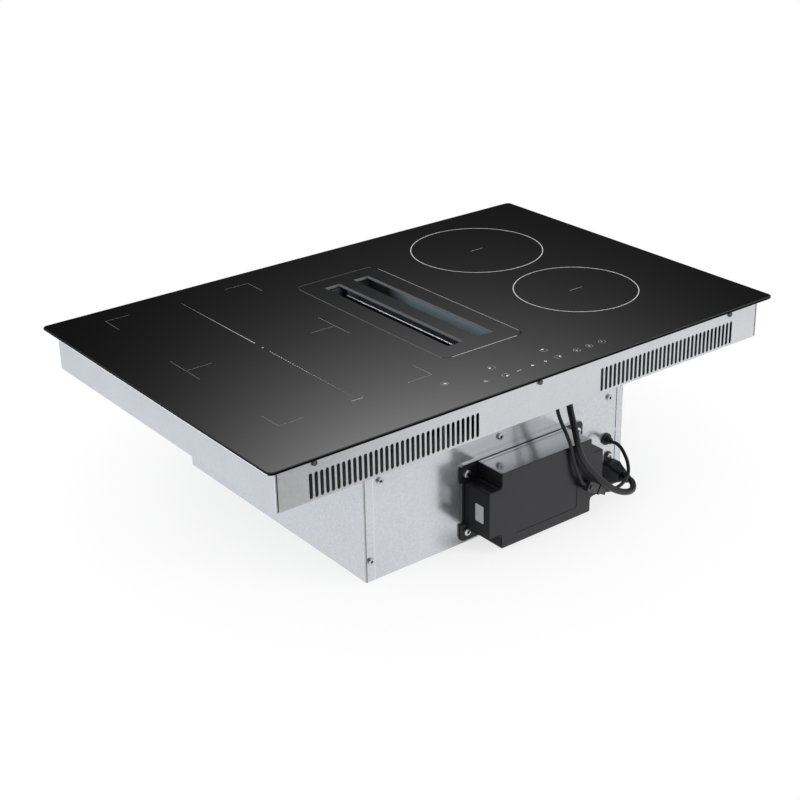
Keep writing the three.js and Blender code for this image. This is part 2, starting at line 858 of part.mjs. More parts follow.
// Carrier disc with a temperature sensor in its middle and ferrite bars on its underside.
const coilCarrier = ({ x, y, rx, ry }) => {
  const disc = cylinder(1, 0, 0, carrierUnderZ, coilUnderZ, 16).scale(rx + 1.5, ry + 1.5, 1);
  const sensor = cylinder(sensorRadius, x, y, coilUnderZ - 1, glassUnderZ - 0.5, 8, sensorRadius * 0.6);
  const start = coilInnerRadius + 4;
  const reach = Math.min(rx, ry) - 4;
  const bars = Array.from({ length: ferritesPerCoil }, (_, i) =>
    new THREE.BoxGeometry(reach - start, ferriteWidth, ferriteThickness + 1)
      .translate((reach + start) / 2, 0, 0)
      .rotateZ((i / ferritesPerCoil) * Math.PI * 2)
      .translate(x, y, ferriteUnderZ + (ferriteThickness + 1) / 2),
  );
  return join(disc.translate(x, y, 0), sensor, ...bars);
};

// Aluminium sheet under the coils of one side, on posts that stand on the pan floor.
const coilScreen = (side) => {
  const zones = Object.values(coilPlan).filter((zone) => Math.sign(zone.x) === side);
  const back = Math.max(...zones.map((zone) => zone.y + zone.ry));
  const front = Math.min(...zones.map((zone) => zone.y - zone.ry));
  const half = Math.max(...zones.map((zone) => zone.rx));
  const plate = layer(
    roundedRect(half * 2, back - front, screenRadius, side * zoneX, (back + front) / 2),
    screenUnderZ,
    ferriteUnderZ,
  );
  const besideBoard = boardX - boardWidth / 2 - postRadius * 2;
  const besideTerminals = glandX - terminalWidth / 2 - postRadius * 3;
  const posts = [
    [besideTerminals, back - postInset],
    [zoneX - half + postRadius * 2, back - postInset],
    [zoneX - half + postRadius * 2, front + postInset],
    [besideBoard, front + postInset],
  ].map(([x, y]) => cylinder(postRadius, side * x, y, panFloorZ, screenUnderZ + 0.5, 8));
  return join(plate, ...posts);
};

// ---------------------------------------------------------------- power boards

// One board on its spacers, with capacitors, chokes and a relay.
const powerBoard = (side) => {
  const x = side * boardX;
  const board = box(
    x - boardWidth / 2,
    x + boardWidth / 2,
    boardY - boardDepth / 2,
    boardY + boardDepth / 2,
    boardUnderZ,
    boardTopZ,
  );
  const spacers = [-1, 1].flatMap((sx) =>
    [-1, 1].map((sy) =>
      cylinder(
        spacerRadius,
        x + sx * (boardWidth / 2 - spacerInset),
        boardY + sy * (boardDepth / 2 - spacerInset),
        panFloorZ,
        boardUnderZ + 0.5,
        6,
      ),
    ),
  );
  const block = (cx, cy, width, depth, height) =>
    box(
      cx - width / 2,
      cx + width / 2,
      boardY + cy - depth / 2,
      boardY + cy + depth / 2,
      boardTopZ - 0.5,
      boardTopZ + height,
    );
  const outer = x + side * boardPartsX;
  const capacitors = capacitorPlaces.map((y) => block(outer, y, capacitorSize, capacitorSize, capacitorHeight));
  const chokes = chokePlaces.map((y) =>
    cylinder(chokeRadius, outer, boardY + y, boardTopZ - 0.5, boardTopZ + chokeHeight, 10),
  );
  const relay = block(x - side * relayX, relayY, relayWidth, relayDepth, relayHeight);
  return join(board, ...spacers, ...capacitors, ...chokes, relay);
};

const heatSink = (side) => {
  const half = heatSinkWidth / 2;
  const foot = heatSinkFoot;
  const pitch = heatSinkWidth / heatSinkFins;
  const profile = new THREE.Shape();
  profile.moveTo(-half, 0);
  profile.lineTo(half, 0);
  profile.lineTo(half, foot);
  for (let i = heatSinkFins - 1; i >= 0; i -= 1) {
    const mid = -half + pitch * (i + 0.5);
    profile.lineTo(mid + heatSinkFin / 2, foot);
    profile.lineTo(mid + heatSinkFin / 2, heatSinkHeight);
    profile.lineTo(mid - heatSinkFin / 2, heatSinkHeight);
    profile.lineTo(mid - heatSinkFin / 2, foot);
  }
  profile.lineTo(-half, foot);
  const y = boardY + boardDepth / 2 - heatSinkDepth / 2 - heatSinkInset;
  return wall(profile, y - heatSinkDepth / 2, y + heatSinkDepth / 2).translate(
    side * (boardX - boardWidth / 2 + half + 6),
    0,
    boardTopZ + headSeat,
  );
};

// ---------------------------------------------------------------- touch control

const touchBoard = () => {
  const board = box(
    -touchWidth / 2,
    touchWidth / 2,
    touchY - touchDepth / 2,
    touchY + touchDepth / 2,
    touchBoardZ,
    touchBoardZ + boardThickness,
  );
  const key = (x, y) => cylinder(touchKeyRadius, x, y, touchBoardZ + boardThickness / 2, glassUnderZ, 5);
  return join(
    board,
    ...touchKeysFront.map((x) => key(x, touchFrontY)),
    ...touchKeysBack.map((x) => key(x, touchBackY)),
  );
};

const touchCarrier = () => {
  const tray = (grow, z0, z1) =>
    box(
      -touchWidth / 2 - grow,
      touchWidth / 2 + grow,
      touchY - touchDepth / 2 - grow,
      touchY + touchDepth / 2 + grow,
      z0,
      z1,
    );
  const shell = cut(
    tray(3, touchBoardZ - touchTrayDepth, touchBoardZ),
    tray(-4, touchBoardZ - touchTrayDepth + 2, touchBoardZ + 1),
  );
  const feet = [-1, 1].map((side) =>
    cylinder(
      postRadius,
      side * (touchWidth / 2 - 6),
      touchY,
      panFloorZ,
      touchBoardZ - touchTrayDepth + 1,
      8,
    ),
  );
  return join(shell, ...feet);
};

// ---------------------------------------------------------------- cooling fans

const fanFrame = (side) => {
  const x = side * fanX;
  const top = panFloorZ + fanHeight;
  const shell = layer(
    withHoles(roundedRect(fanSize, fanSize, 5, x, fanY), circle(fanBore, x, fanY, 18)),
    panFloorZ,
    top,
  );
  const hub = cylinder(fanHubRadius - 1, x, fanY, panFloorZ, panFloorZ + 4, 10);
  const pin = cylinder(1.5, x, fanY, panFloorZ + 3, top - 5, 6);
  const struts = [1, 3].map((turn) =>
    new THREE.BoxGeometry(fanBore * 2 + 2, 4, 3)
      .rotateZ((turn * Math.PI) / 4)
      .translate(x, fanY, panFloorZ + 1.5),
  );
  return join(shell, hub, pin, ...struts);
};

const fanImpeller = (side) => {
  const foot = panFloorZ + 4 + runningGap * 2;
  const top = panFloorZ + fanHeight - 1;
  const hub = cylinder(fanHubRadius, 0, 0, foot, top, 14);
  const bore = cylinder(1.5 + runningGap * 2, 0, 0, foot - 1, panFloorZ + fanHeight - 4, 8);
  const root = fanHubRadius - 2;
  const length = fanBore - fanTipGap - root;
  const blades = Array.from({ length: fanBlades }, (_, i) =>
    new THREE.BoxGeometry(length, 15, 1.6)
      .rotateX((side * 38 * Math.PI) / 180)
      .translate(root + length / 2, 0, (foot + top) / 2)
      .rotateZ((i / fanBlades) * Math.PI * 2),
  );
  return cut(join(hub, ...blades), bore).translate([side * fanX, fanY, 0]);
};

// ---------------------------------------------------------------- mains entry

const mainsGland = () => {
  const body = cylinderY(glandHole, glandX, glandZ, panBack - 6, panBack + 8);
  const flange = cylinderY(glandHole + 4, glandX, glandZ, panBack + headSeat, panBack + 3);
  return cut(join(body, flange), cylinderY(glandBore, glandX, glandZ, panBack - 20, panBack + 20, 10));
};

const terminalBlock = () => {
  const front = panBack - terminalSetback;
  const back = front + terminalDepth;
  const bar = (x, width, inset, z0, z1) =>
    box(x - width / 2, x + width / 2, front + inset, back - inset, panFloorZ + z0, panFloorZ + z1);
  const base = bar(glandX, terminalWidth, 0, 0, terminalFoot);
  const poles = [-2, -1, 0, 1, 2].map((i) =>
    bar(glandX + i * polePitch, poleWidth, poleInset, terminalFoot - 1, terminalHeight),
  );
  return join(base, ...poles);
};

// ---------------------------------------------------------------- extractor housing

const housingShell = () => {
  const top = housingHeight;
  const foldY = housingFront + sheet + plateSetting;
  const fold = (x0, x1, z0, z1) => box(x0, x1, foldY, foldY + sheet, z0, z1);
  const topFold = (x0, x1, y0, y1) => box(x0, x1, y0, y1, top - sheet, top);
  const outletHole = roundedRect(outletWidth + 2, outletHeight + 2, 7, outletX, outletZ);
  const body = [
    box(housingLeft, housingRight, foldY, housingBack, 0, sheet),
    box(housingLeft, housingLeft + sheet, foldY, housingBack, 0, top),
    box(housingRight - sheet, housingRight, housingFront, housingBack, 0, top),
    wall(
      withHoles(rect(housingLeft, housingRight, 0, top), outletHole),
      housingBack - sheet,
      housingBack,
    ),
    topFold(housingLeft, housingLeft + foldWidth, foldY, housingBack),
    topFold(housingRight - foldWidth, housingRight, foldY, housingBack),
    topFold(housingLeft, housingRight, housingBack - foldWidth, housingBack),
    fold(housingLeft, housingLeft + leftFoldWidth, 0, top),
    fold(flangeLeft - rightFoldWidth, flangeLeft + sheet, 0, top),
    fold(housingLeft, bottomFoldEnd, 0, bottomFoldHeight),
    fold(housingLeft, flangeLeft, crossRailZ - crossRailHeight / 2, crossRailZ + crossRailHeight / 2),
    box(flangeLeft, flangeLeft + sheet, housingFront, foldY + sheet, 0, top),
    box(flangeLeft, housingRight, housingFront, housingFront + sheet, 0, top),
  ];
  const hole = screwShankRadius + seatGap;
  const plateHoles = platePlaces.map(([x, z]) => cylinderY(hole, x, z, foldY - 1, foldY + 2, 6));
  const panHoles = housingScrewPlaces.map(([x, y]) => cylinder(hole, x, y, top - 2, top + 1, 6));
  return cut(join(...body), ...plateHoles, ...panHoles);
};

const earScrewPlaces = [-1, 1].flatMap((sx) =>
  [-1, 1].map((sz) => [
    boxCentreX + sx * (boxWidth / 2 + earOverhang - earScrewInset),
    boxCentreZ + sz * (boxHeight / 2 - earScrewInset - 1),
  ]),
);

const frontPlate = () => {
  const socketHole = roundedRect(
    socketBodyWidth + seatGap * 2,
    socketBodyHeight + seatGap * 2,
    1,
    socketX,
    socketZ,
  );
  const face = withHoles(
    rect(housingLeft, frontPlateRight, seatGap, housingHeight - seatGap),
    circle(grommetHole, grommetX, grommetZ, 12),
    socketHole,
    rect(
      boxCentreX - leadWayWidth / 2,
      boxCentreX + leadWayWidth / 2,
      boxCentreZ - leadWayHeight / 2,
      boxCentreZ + leadWayHeight / 2,
    ),
  );
  const tab = box(
    frontPlateRight - 1,
    flangeLeft - seatGap,
    housingFront,
    housingFront + sheet,
    gapTabFoot,
    gapTabFoot + gapTabHeight,
  );
  const plateScrews = platePlaces.map(([x, z]) => screwInWall(x, housingFront, z, -1));
  const earScrews = earScrewPlaces.map(([x, z]) =>
    screwInWall(x, earFront, z, -1, earScrewHeadRadius, earScrewHeadHeight),
  );
  const lugScrew = screwInWall(socketX, socketFront, socketLugZ, -1, lugScrewHeadRadius, lugScrewHeadHeight);
  return join(
    wall(face, housingFront, housingFront + sheet),
    tab,
    ...plateScrews,
    ...earScrews,
    lugScrew,
  );
};

// ---------------------------------------------------------------- blower

const scrollMouthLeft = blowerX - scrollMouthRadius;
const scrollMouthRight = scrollMouthLeft + scrollMouthWidth;

// The volute's outline, drawn clockwise from the tongue round to the mouth.
const scrollOutline = (offset, mouthY) => {
  const tongue = Math.acos((scrollMouthRight + offset - blowerX) / (scrollTongueRadius + offset));
  const sweep = tongue + Math.PI;
  const steps = 20;
  const points = Array.from({ length: steps + 1 }, (_, i) => {
    const turn = i / steps;
    const angle = tongue - sweep * turn;
    const r = scrollTongueRadius + (scrollMouthRadius - scrollTongueRadius) * turn + offset;
    return new THREE.Vector2(blowerX + r * Math.cos(angle), blowerY + r * Math.sin(angle));
  });
  points.push(new THREE.Vector2(scrollMouthLeft - offset, mouthY));
  points.push(new THREE.Vector2(scrollMouthRight + offset, mouthY));
  return new THREE.Shape(points);
};

const scrollBase = () => {
  const block = layer(scrollOutline(scrollWall, scrollMouthY), scrollFloorZ, scrollTopZ);
  const hollow = layer(scrollOutline(0, scrollMouthY + 5), scrollInnerZ, scrollTopZ + 1);
  const feet = scrollFeet.map(([dx, dy]) =>
    cylinder(scrollFootRadius, blowerX + dx, blowerY + dy, sheet, scrollFloorZ + 0.5, 8),
  );
  const seat = cylinder(statorPilot + seatGap, blowerX, blowerY, scrollFloorZ - 1, scrollInnerZ + 1, 16);
  return cut(join(block, ...feet), hollow, seat);
};

const scrollLid = () => {
  const plate = layer(
    withHoles(scrollOutline(scrollWall, scrollMouthY), circle(inletRadius, blowerX, blowerY, 20)),
    scrollTopZ,
    scrollTopZ + scrollWall,
  );
  const bell = revolve(
    [
      [inletRadius, 0],
      [inletRadius + 2, 0],
      [inletRadius + 3, inletBell - 4],
      [inletRadius + 9, inletBell - 1],
      [inletRadius + 9, inletBell],
      [inletRadius + 2, inletBell - 2],
      [inletRadius, 0],
    ],
    20,
  ).translate(blowerX, blowerY, scrollTopZ);
  return join(plate, bell);
};

// One forward-curved blade, drawn in plan from the wheel's inner edge to its rim.
const wheelBlade = (angle) => {
  const bend = 0.32;
  const thickness = 1.3;
  const steps = 2;
  const edge = (offset) =>
    Array.from({ length: steps + 1 }, (_, i) => {
      const t = i / steps;
      const r = wheelInnerRadius + (wheelRadius - 1 - wheelInnerRadius) * t;
      const swing = angle - bend * t * t + offset / r;
      return new THREE.Vector2(r * Math.cos(swing), r * Math.sin(swing));
    });
  return new THREE.Shape([...edge(-thickness / 2), ...edge(thickness / 2).reverse()]);
};

const blowerWheel = () => {
  const disc = layer(
    withHoles(circle(wheelRadius, 0, 0, 32), circle(rotorRadius - 6, 0, 0, 24)),
    wheelFootZ,
    wheelFootZ + wheelDisc,
  );
  const rim = layer(
    withHoles(circle(wheelRadius, 0, 0, 32), circle(wheelInnerRadius + 3, 0, 0, 32)),
    wheelTopZ,
    wheelTopZ + 3,
  );
  const blades = Array.from({ length: wheelBlades }, (_, i) =>
    layer(wheelBlade((i / wheelBlades) * Math.PI * 2), rotorFootZ - 0.5, wheelTopZ + 0.5),
  );
  return join(disc, rim, ...blades).translate([blowerX, blowerY, 0]);
};

const rotorCup = () => {
  const bore = shaftRadius + runningGap;
  return revolve(
    [
      [bore, rotorHeight - rotorWall],
      [rotorRadius - rotorWall, rotorHeight - rotorWall],
      [rotorRadius - rotorWall, 0],
      [rotorRadius, 0],
      [rotorRadius, rotorHeight - 3],
      [rotorRadius - 4, rotorHeight],
      [bore, rotorHeight],
      [bore, rotorHeight - rotorWall],
    ],
    16,
  ).translate(blowerX, blowerY, rotorFootZ);
};

const blowerShaft = () => cylinder(shaftRadius, blowerX, blowerY, scrollInnerZ + 1, rotorTopZ + 2);

const motorStator = () => {
  const bore = bearingRadius + runningGap;
  const ring = (radius, z0, z1) =>
    layer(withHoles(circle(radius, 0, 0, 16), circle(bore, 0, 0, 12)), z0, z1);
  return join(
    ring(rotorRadius - 7, scrollInnerZ, scrollInnerZ + statorFlange),
    ring(statorPilot - 0.5, scrollFloorZ, scrollInnerZ + 1),
    ring(statorPilot - 2, scrollInnerZ + statorFlange - 1, rotorFootZ + 2),
    ring(rotorRadius - rotorWall - statorGap, rotorFootZ + 1, rotorTopZ - 6),
  ).translate([blowerX, blowerY, 0]);
};

const motorBearing = (z) =>
  layer(
    withHoles(
      circle(bearingRadius, blowerX, blowerY, 12),
      circle(shaftRadius + runningGap, blowerX, blowerY, 12),
    ),
    z,
    z + bearingHeight,
  );

// Duct that widens from the scroll's mouth to the outlet.
const outletDuct = () => {
  const start = scrollMouthY + seatGap;
  const end = housingBack - sheet - 6;
  const mouth = (grow) =>
    rect(scrollMouthLeft - grow, scrollMouthRight + grow, scrollInnerZ - grow, scrollTopZ + grow);
  const outlet = (grow) =>
    rect(
      outletX - outletWidth / 2 + outletWall - grow,
      outletX + outletWidth / 2 - outletWall + grow,
      outletZ - outletHeight / 2 + outletWall - grow,
      outletZ + outletHeight / 2 - outletWall + grow,
    );
  const loops = (grow) => [
    loopAtY(mouth(grow), start),
    loopAtY(mouth(grow), start + 14),
    loopAtY(outlet(grow), end),
  ];
  return sleeve(loops(1.6), loops(0));
};

const outletCollarPiece = () => {
  const outline = (grow) =>
    roundedRect(outletWidth + grow * 2, outletHeight + grow * 2, 6 + grow, outletX, outletZ);
  const pipe = wall(
    withHoles(outline(0), outline(-outletWall)),
    housingBack - sheet - 6 + seatGap,
    housingBack + outletCollar,
  );
  const flange = wall(
    withHoles(outline(outletFlange), outline(-outletWall / 2)),
    housingBack + headSeat,
    housingBack + 2.5,
  );
  return join(pipe, flange);
};

// ---------------------------------------------------------------- control box

// The box seen from the front: a rectangle with a square notch in each corner.
const notchedOutline = (inset) => {
  const w = boxWidth / 2 - inset;
  const h = boxHeight / 2 - inset;
  const n = boxNotch;
  const outer = Math.max(boxEdgeRadius - inset, 0.4);
  const inner = boxNotchRadius + inset;
  const corners = [
    [w, -h + n, outer],
    [w, h - n, outer],
    [w - n, h - n, inner],
    [w - n, h, outer],
    [-w + n, h, outer],
    [-w + n, h - n, inner],
    [-w, h - n, outer],
    [-w, -h + n, outer],
    [-w + n, -h + n, inner],
    [-w + n, -h, outer],
    [w - n, -h, outer],
    [w - n, -h + n, inner],
  ].map(([x, z, r]) => ({ at: new THREE.Vector2(x + boxCentreX, z + boxCentreZ), r }));
  const shape = new THREE.Shape();
  corners.forEach(({ at, r }, i) => {
    const before = corners[(i + 11) % 12].at.clone().sub(at).setLength(r).add(at);
    const after = corners[(i + 1) % 12].at.clone().sub(at).setLength(r).add(at);
    if (i === 0) shape.moveTo(before.x, before.y);
    else shape.lineTo(before.x, before.y);
    shape.quadraticCurveTo(at.x, at.y, after.x, after.y);
  });
  return shape;
};

const controlBoxBase = () => {
  const outline = roundedRect(boxWidth + earOverhang * 2, boxHeight + 2, 6, boxCentreX, boxCentreZ);
  const flange = wall(outline, earFront, housingFront - headSeat);
  const rim = wall(notchedOutline(0), boxBaseFront, earFront + 0.5, 2);
  const hollow = wall(notchedOutline(boxWall), boxBaseFront - 1, earFront);
  const waist = [-1, 1].map((side) => {
    const half = boxHeight / 2 - boxNotch - 2;
    const near = boxCentreX + side * (boxWidth / 2 + earSetback);
    const far = boxCentreX + side * (boxWidth / 2 + earOverhang + 5);
    return box(
      Math.min(near, far),
      Math.max(near, far),
      earFront - 1,
      housingFront + 1,
      boxCentreZ - half,
      boxCentreZ + half,
    );
  });
  const bores = earScrewPlaces.map(([x, z]) =>
    cylinderY(screwShankRadius + seatGap * 1.5, x, z, earFront - 1, housingFront + 1, 8),
  );
  const leadWay = box(
    boxCentreX - leadWayWidth / 2,
    boxCentreX + leadWayWidth / 2,
    earFront - 1,
    housingFront + 1,
    boxCentreZ - leadWayHeight / 2,
    boxCentreZ + leadWayHeight / 2,
  );
  return cut(join(flange, rim), hollow, ...waist, ...bores, leadWay);
};

const controlBoxCover = () => {
  const body = wall(notchedOutline(0), boxFront, boxBaseFront - headSeat, 2, 0.8);
  const hollow = wall(notchedOutline(boxWall), boxFront + boxWall, boxBaseFront + 1);
  const panel = wall(
    roundedRect(boxPanelWidth, boxPanelHeight, 4, boxCentreX - 1, boxCentreZ - 4),
    boxFront - 1,
    boxFront + boxPanelDepth,
  );
  return cut(body, hollow, panel);
};

// Control board on its posts, with its parts facing the cover.
const controlBoard = () => {
  const face = boxBaseFront + 1;
  const back = earFront - headSeat;
  const block = ({ x, z, width, height }, y0, y1) =>
    box(
      boxCentreX + x - width / 2,
      boxCentreX + x + width / 2,
      y0,
      y1,
      boxCentreZ + z - height / 2,
      boxCentreZ + z + height / 2,
    );
  const plan = { x: 0, z: 0, width: controlBoardWidth, height: controlBoardHeight };
  const board = block(plan, face, face + boardThickness);
  const posts = [-1, 1].flatMap((sx) =>
    [-1, 1].map((sz) => {
      const x = boxCentreX + sx * (controlBoardWidth / 2 - controlPostInset);
      const z = boxCentreZ + sz * (controlBoardHeight / 2 - controlPostInset);
      return cylinderY(controlPostRadius, x, z, face + 0.5, back, 6);
    }),
  );
  const parts = controlParts.map((part) => block(part, face - part.depth, face + 0.5));
  return join(board, ...posts, ...parts);
};

// ---------------------------------------------------------------- socket and plug

const supplySocket = () => {
  const face = roundedRect(plugWidth, plugHeight - 4, 2, socketX, socketZ);
  const lug = new THREE.Shape();
  lug.moveTo(socketX - socketLugRadius, socketZ);
  lug.lineTo(socketX + socketLugRadius, socketZ);
  lug.lineTo(socketX + socketLugRadius, socketLugZ);
  lug.absarc(socketX, socketLugZ, socketLugRadius, 0, Math.PI);
  const body = box(
    socketX - socketBodyWidth / 2,
    socketX + socketBodyWidth / 2,
    socketFront + 0.5,
    housingFront + 22,
    socketZ - socketBodyHeight / 2,
    socketZ + socketBodyHeight / 2,
  );
  const back = housingFront - headSeat;
  const bore = cylinderY(screwShankRadius + seatGap * 1.5, socketX, socketLugZ, socketFront - 1, back + 1, 8);
  return cut(join(wall(face, socketFront, back), wall(lug, socketFront, back, 3), body), bore);
};

// The plug narrows from its face on the socket to the lead's tail.
const leadPlug = () => {
  const section = (w, h, rise) => roundedRect(w, h, 2.5, socketX, socketZ + rise);
  const body = loft([
    loopAtY(section(plugWidth - 7, plugHeight - 15, plugRise), plugNose),
    loopAtY(section(plugWidth - 2, plugHeight - 7, plugRise / 2), plugFace - plugLength * 0.6),
    loopAtY(section(plugWidth, plugHeight, 0), plugFace - plugLength * 0.45),
    loopAtY(section(plugWidth, plugHeight, 0), plugFace),
  ]);
  const tail = cylinderY(plugTailRadius, socketX, plugTailZ, plugNose - plugTailLength, plugNose + 2, 10);
  const rings = [0.35, 0.7].map((t) => {
    const y = plugNose - plugTailLength * t;
    return cylinderY(plugTailRadius + 0.7, socketX, plugTailZ, y - 0.7, y + 0.7, 10);
  });
  return join(body, tail, ...rings);
};

// ---------------------------------------------------------------- leads

const housingGrommet = () =>
  new THREE.LatheGeometry(
    [
      [signalDiameter / 2 + 0.4, 3],
      [signalDiameter / 2 + 0.4, -grommetReach],
      [4.4, -grommetReach],
      [5.4, -3],
      [8, -2.4],
      [8, 0],
      [grommetHole - 0.7, 0],
      [grommetHole - 0.7, 3],
      [signalDiameter / 2 + 0.4, 3],
    ].map(([r, y]) => new THREE.Vector2(r, y)),
    12,
  ).translate(grommetX, housingFront - headSeat, grommetZ);

const panGrommet = (exit, diameter) =>
  revolve(
    [
      [diameter / 2 - 0.8, sheet + 1.5],
      [diameter / 2 - 0.8, -panGrommetDrop],
      [exit.hole + 1.2, -panGrommetDrop],
      [exit.hole + 2, 0],
      [exit.hole - 0.4, 0],
      [exit.hole - 0.4, sheet + 1.5],
      [diameter / 2 - 0.8, sheet + 1.5],
    ],
    12,
  ).translate(exit.x, exit.y, panUnderZ - headSeat);

const leadTopZ = panUnderZ - headSeat - panGrommetDrop - seatGap;

const supplyRoute = [
  [supplyExit.x, supplyExit.y, leadTopZ],
  [supplyExit.x, supplyExit.y, 156],
  [59.6, -232, 145],
  [57.6, -240, 131],
  [55.6, -247.5, 117],
  [56.2, -252, 103],
  [60.4, -254.5, 90.5],
  [67, -256.8, 78.5],
  [75, -259.5, 68],
  [83.5, -262, 57.5],
  [92.5, -264, 48],
  [104.2, -265.3, 37.8],
  [117.7, -265.3, 29.5],
  [131.2, -263.8, 23.8],
  [143, -260, 21],
  [152, -253.5, 20.6],
  [158.2, -245.5, 21],
  [socketX, plugNose - plugTailLength - 4, plugTailZ],
  [socketX, plugNose - plugTailLength - seatGap, plugTailZ],
];

const connectorStart = new THREE.Vector3(68, -254.2, 50.8);
const connectorEnd = new THREE.Vector3(98.3, -255.1, 34.2);
const connectorLine = connectorEnd.clone().sub(connectorStart).normalize();
const connectorLength = connectorStart.distanceTo(connectorEnd);
const connectorMeet = connectorLength * 0.52;
const signalEnd = connectorStart.clone().addScaledVector(connectorLine, -seatGap);
const housingEnd = connectorEnd.clone().addScaledVector(connectorLine, seatGap);

const leadIn = (end, distance) => end.clone().addScaledVector(connectorLine, distance).toArray();

const signalRoute = [
  [signalExit.x, signalExit.y, leadTopZ],
  [signalExit.x, signalExit.y, 157],
  [38.5, -233.5, 147.5],
  [39.4, -239, 136.5],
  [40.8, -244.5, 127],
  [42.8, -249.3, 115],
  [45.3, -250.6, 104],
  [48, -251.2, 92],
  [52, -252, 79],
  [56, -253, 68],
  [60.5, -254.1, 57.5],
  leadIn(signalEnd, -4),
  signalEnd.toArray(),
];

const housingRoute = [
  [grommetX, housingFront - headSeat - grommetReach - seatGap, grommetZ],
  [grommetX, housingFront - headSeat - grommetReach - 4, grommetZ],
  [155.6, -218, 66],
  [156.3, -225, 62.8],
  [156.4, -231.5, 56.5],
  [156, -237.5, 48.5],
  [153.5, -242.5, 40.5],
  [148.5, -246.5, 35],
  [140, -250, 31.5],
  [129.4, -253, 29.6],
  [119, -255, 29.8],
  [109.5, -255.6, 30.6],
  leadIn(housingEnd, 4),
  housingEnd.toArray(),
];

const lead = (route, diameter, steps, sides) => {
  const points = route.map(([x, y, z]) => new THREE.Vector3(x, y, z));
  const extrudePath = new THREE.CatmullRomCurve3(points, false, "centripetal");
  return new THREE.ExtrudeGeometry(circle(diameter / 2, 0, 0, sides), { steps, extrudePath, bevelEnabled: false });
};

// The in-line connector's halves are drawn along Z, then laid along the connector's line.
const layAlong = (piece) => {
  const sideways = new THREE.Vector3(0, -1, 0).cross(connectorLine).normalize();
  const outward = connectorLine.clone().cross(sideways);
  const turn = new THREE.Matrix4().makeBasis(sideways, outward, connectorLine).setPosition(connectorStart);
  return geometryOf(piece).applyMatrix4(turn);
};

const connectorSocket = () =>
  layAlong(
    join(
      box(-6.5, 6.5, -5, 5, 0, connectorMeet),
      box(-2.5, 2.5, 4.5, 6.4, 3, connectorMeet * 0.8),
    ),
  );

const connectorTab = () =>
  layAlong(
    join(
      box(-5.4, 5.4, -4.2, 4.2, connectorMeet + seatGap, connectorLength),
      box(-6.8, 6.8, -5.4, 5.4, connectorMeet + 2, connectorMeet + 5),
    ),
  );

// ---------------------------------------------------------------- finishes

const finish = (color, roughness, metalness) =>
  new THREE.MeshStandardMaterial({ color, roughness, metalness });
const blackGlass = () => finish(0x1c1c1e, 0.08, 0);
const galvanised = () => finish(0xc3c8cc, 0.38, 0.9);
const brightSteel = () => finish(0xc9ccd0, 0.25, 1);
const aluminium = () => finish(0xb9bdc2, 0.35, 0.95);
const blackPlastic = () => finish(0x2a2a2d, 0.35, 0);
const greyPlastic = () => finish(0x53565a, 0.5, 0);
const blackRubber = () => finish(0x18181a, 0.7, 0);
const copper = () => finish(0xb0683a, 0.4, 0.9);
const greenBoard = () => finish(0x1f5a3c, 0.5, 0);
const whitePlastic = () => finish(0xd8d8d4, 0.5, 0);

// ---------------------------------------------------------------- assembly

const cooktop = new THREE.Group();
const add = (name, piece, material) => {
  const mesh = new THREE.Mesh(geometryOf(asSolid(piece)), material());
  mesh.name = name;
  cooktop.add(mesh);
};
const sides = { left: -1, right: 1 };

add("glass_top", glassTop(), blackGlass);
add("rim_seal", rimSeal(), blackRubber);
add("glass_frame", glassFrame(), galvanised);
add("frame_bond", frameBond(), blackRubber);
add("vent_cover", ventCover(), blackGlass);
add("cover_cushion", coverCushion(), blackRubber);
add("well_duct", wellDuct(), galvanised);
add("well_bond", wellBond(), blackRubber);
add("filter_frame", filterFrame(), brightSteel);
add("filter_mesh", filterMesh(), aluminium);
add("filter_handle", filterHandle(), brightSteel);
add("drip_tray", dripTray(), greyPlastic);

add("pan", pan(), galvanised);
Object.entries(coilPlan).forEach(([place, zone]) => {
  add("coil_" + place, winding(zone), copper);
  add("coil_carrier_" + place, coilCarrier(zone), whitePlastic);
});
Object.entries(sides).forEach(([place, side]) => {
  add("coil_screen_" + place, coilScreen(side), aluminium);
  add("power_board_" + place, powerBoard(side), greenBoard);
  add("heat_sink_" + place, heatSink(side), aluminium);
  add("cooling_fan_frame_" + place, fanFrame(side), blackPlastic);
  add("cooling_fan_" + place, fanImpeller(side), blackPlastic);
});
add("touch_board", touchBoard(), greenBoard);
add("touch_carrier", touchCarrier(), greyPlastic);
add("mains_gland", mainsGland(), blackPlastic);
add("terminal_block", terminalBlock(), whitePlastic);

add("housing_shell", housingShell(), galvanised);
add("housing_front_plate", frontPlate(), galvanised);
add("scroll_base", scrollBase(), greyPlastic);
add("scroll_lid", scrollLid(), greyPlastic);
add("blower_wheel", blowerWheel(), blackPlastic);
add("rotor_cup", rotorCup(), brightSteel);
add("blower_shaft", blowerShaft(), brightSteel);
add("motor_stator", motorStator(), copper);
add("lower_bearing", motorBearing(scrollInnerZ + statorFlange), brightSteel);
add("upper_bearing", motorBearing(rotorTopZ - bearingDrop), brightSteel);
add("outlet_duct", outletDuct(), greyPlastic);
add("outlet_collar", outletCollarPiece(), blackPlastic);

add("control_box_base", controlBoxBase(), blackPlastic);
add("control_box_cover", controlBoxCover(), blackPlastic);
add("control_board", controlBoard(), greenBoard);

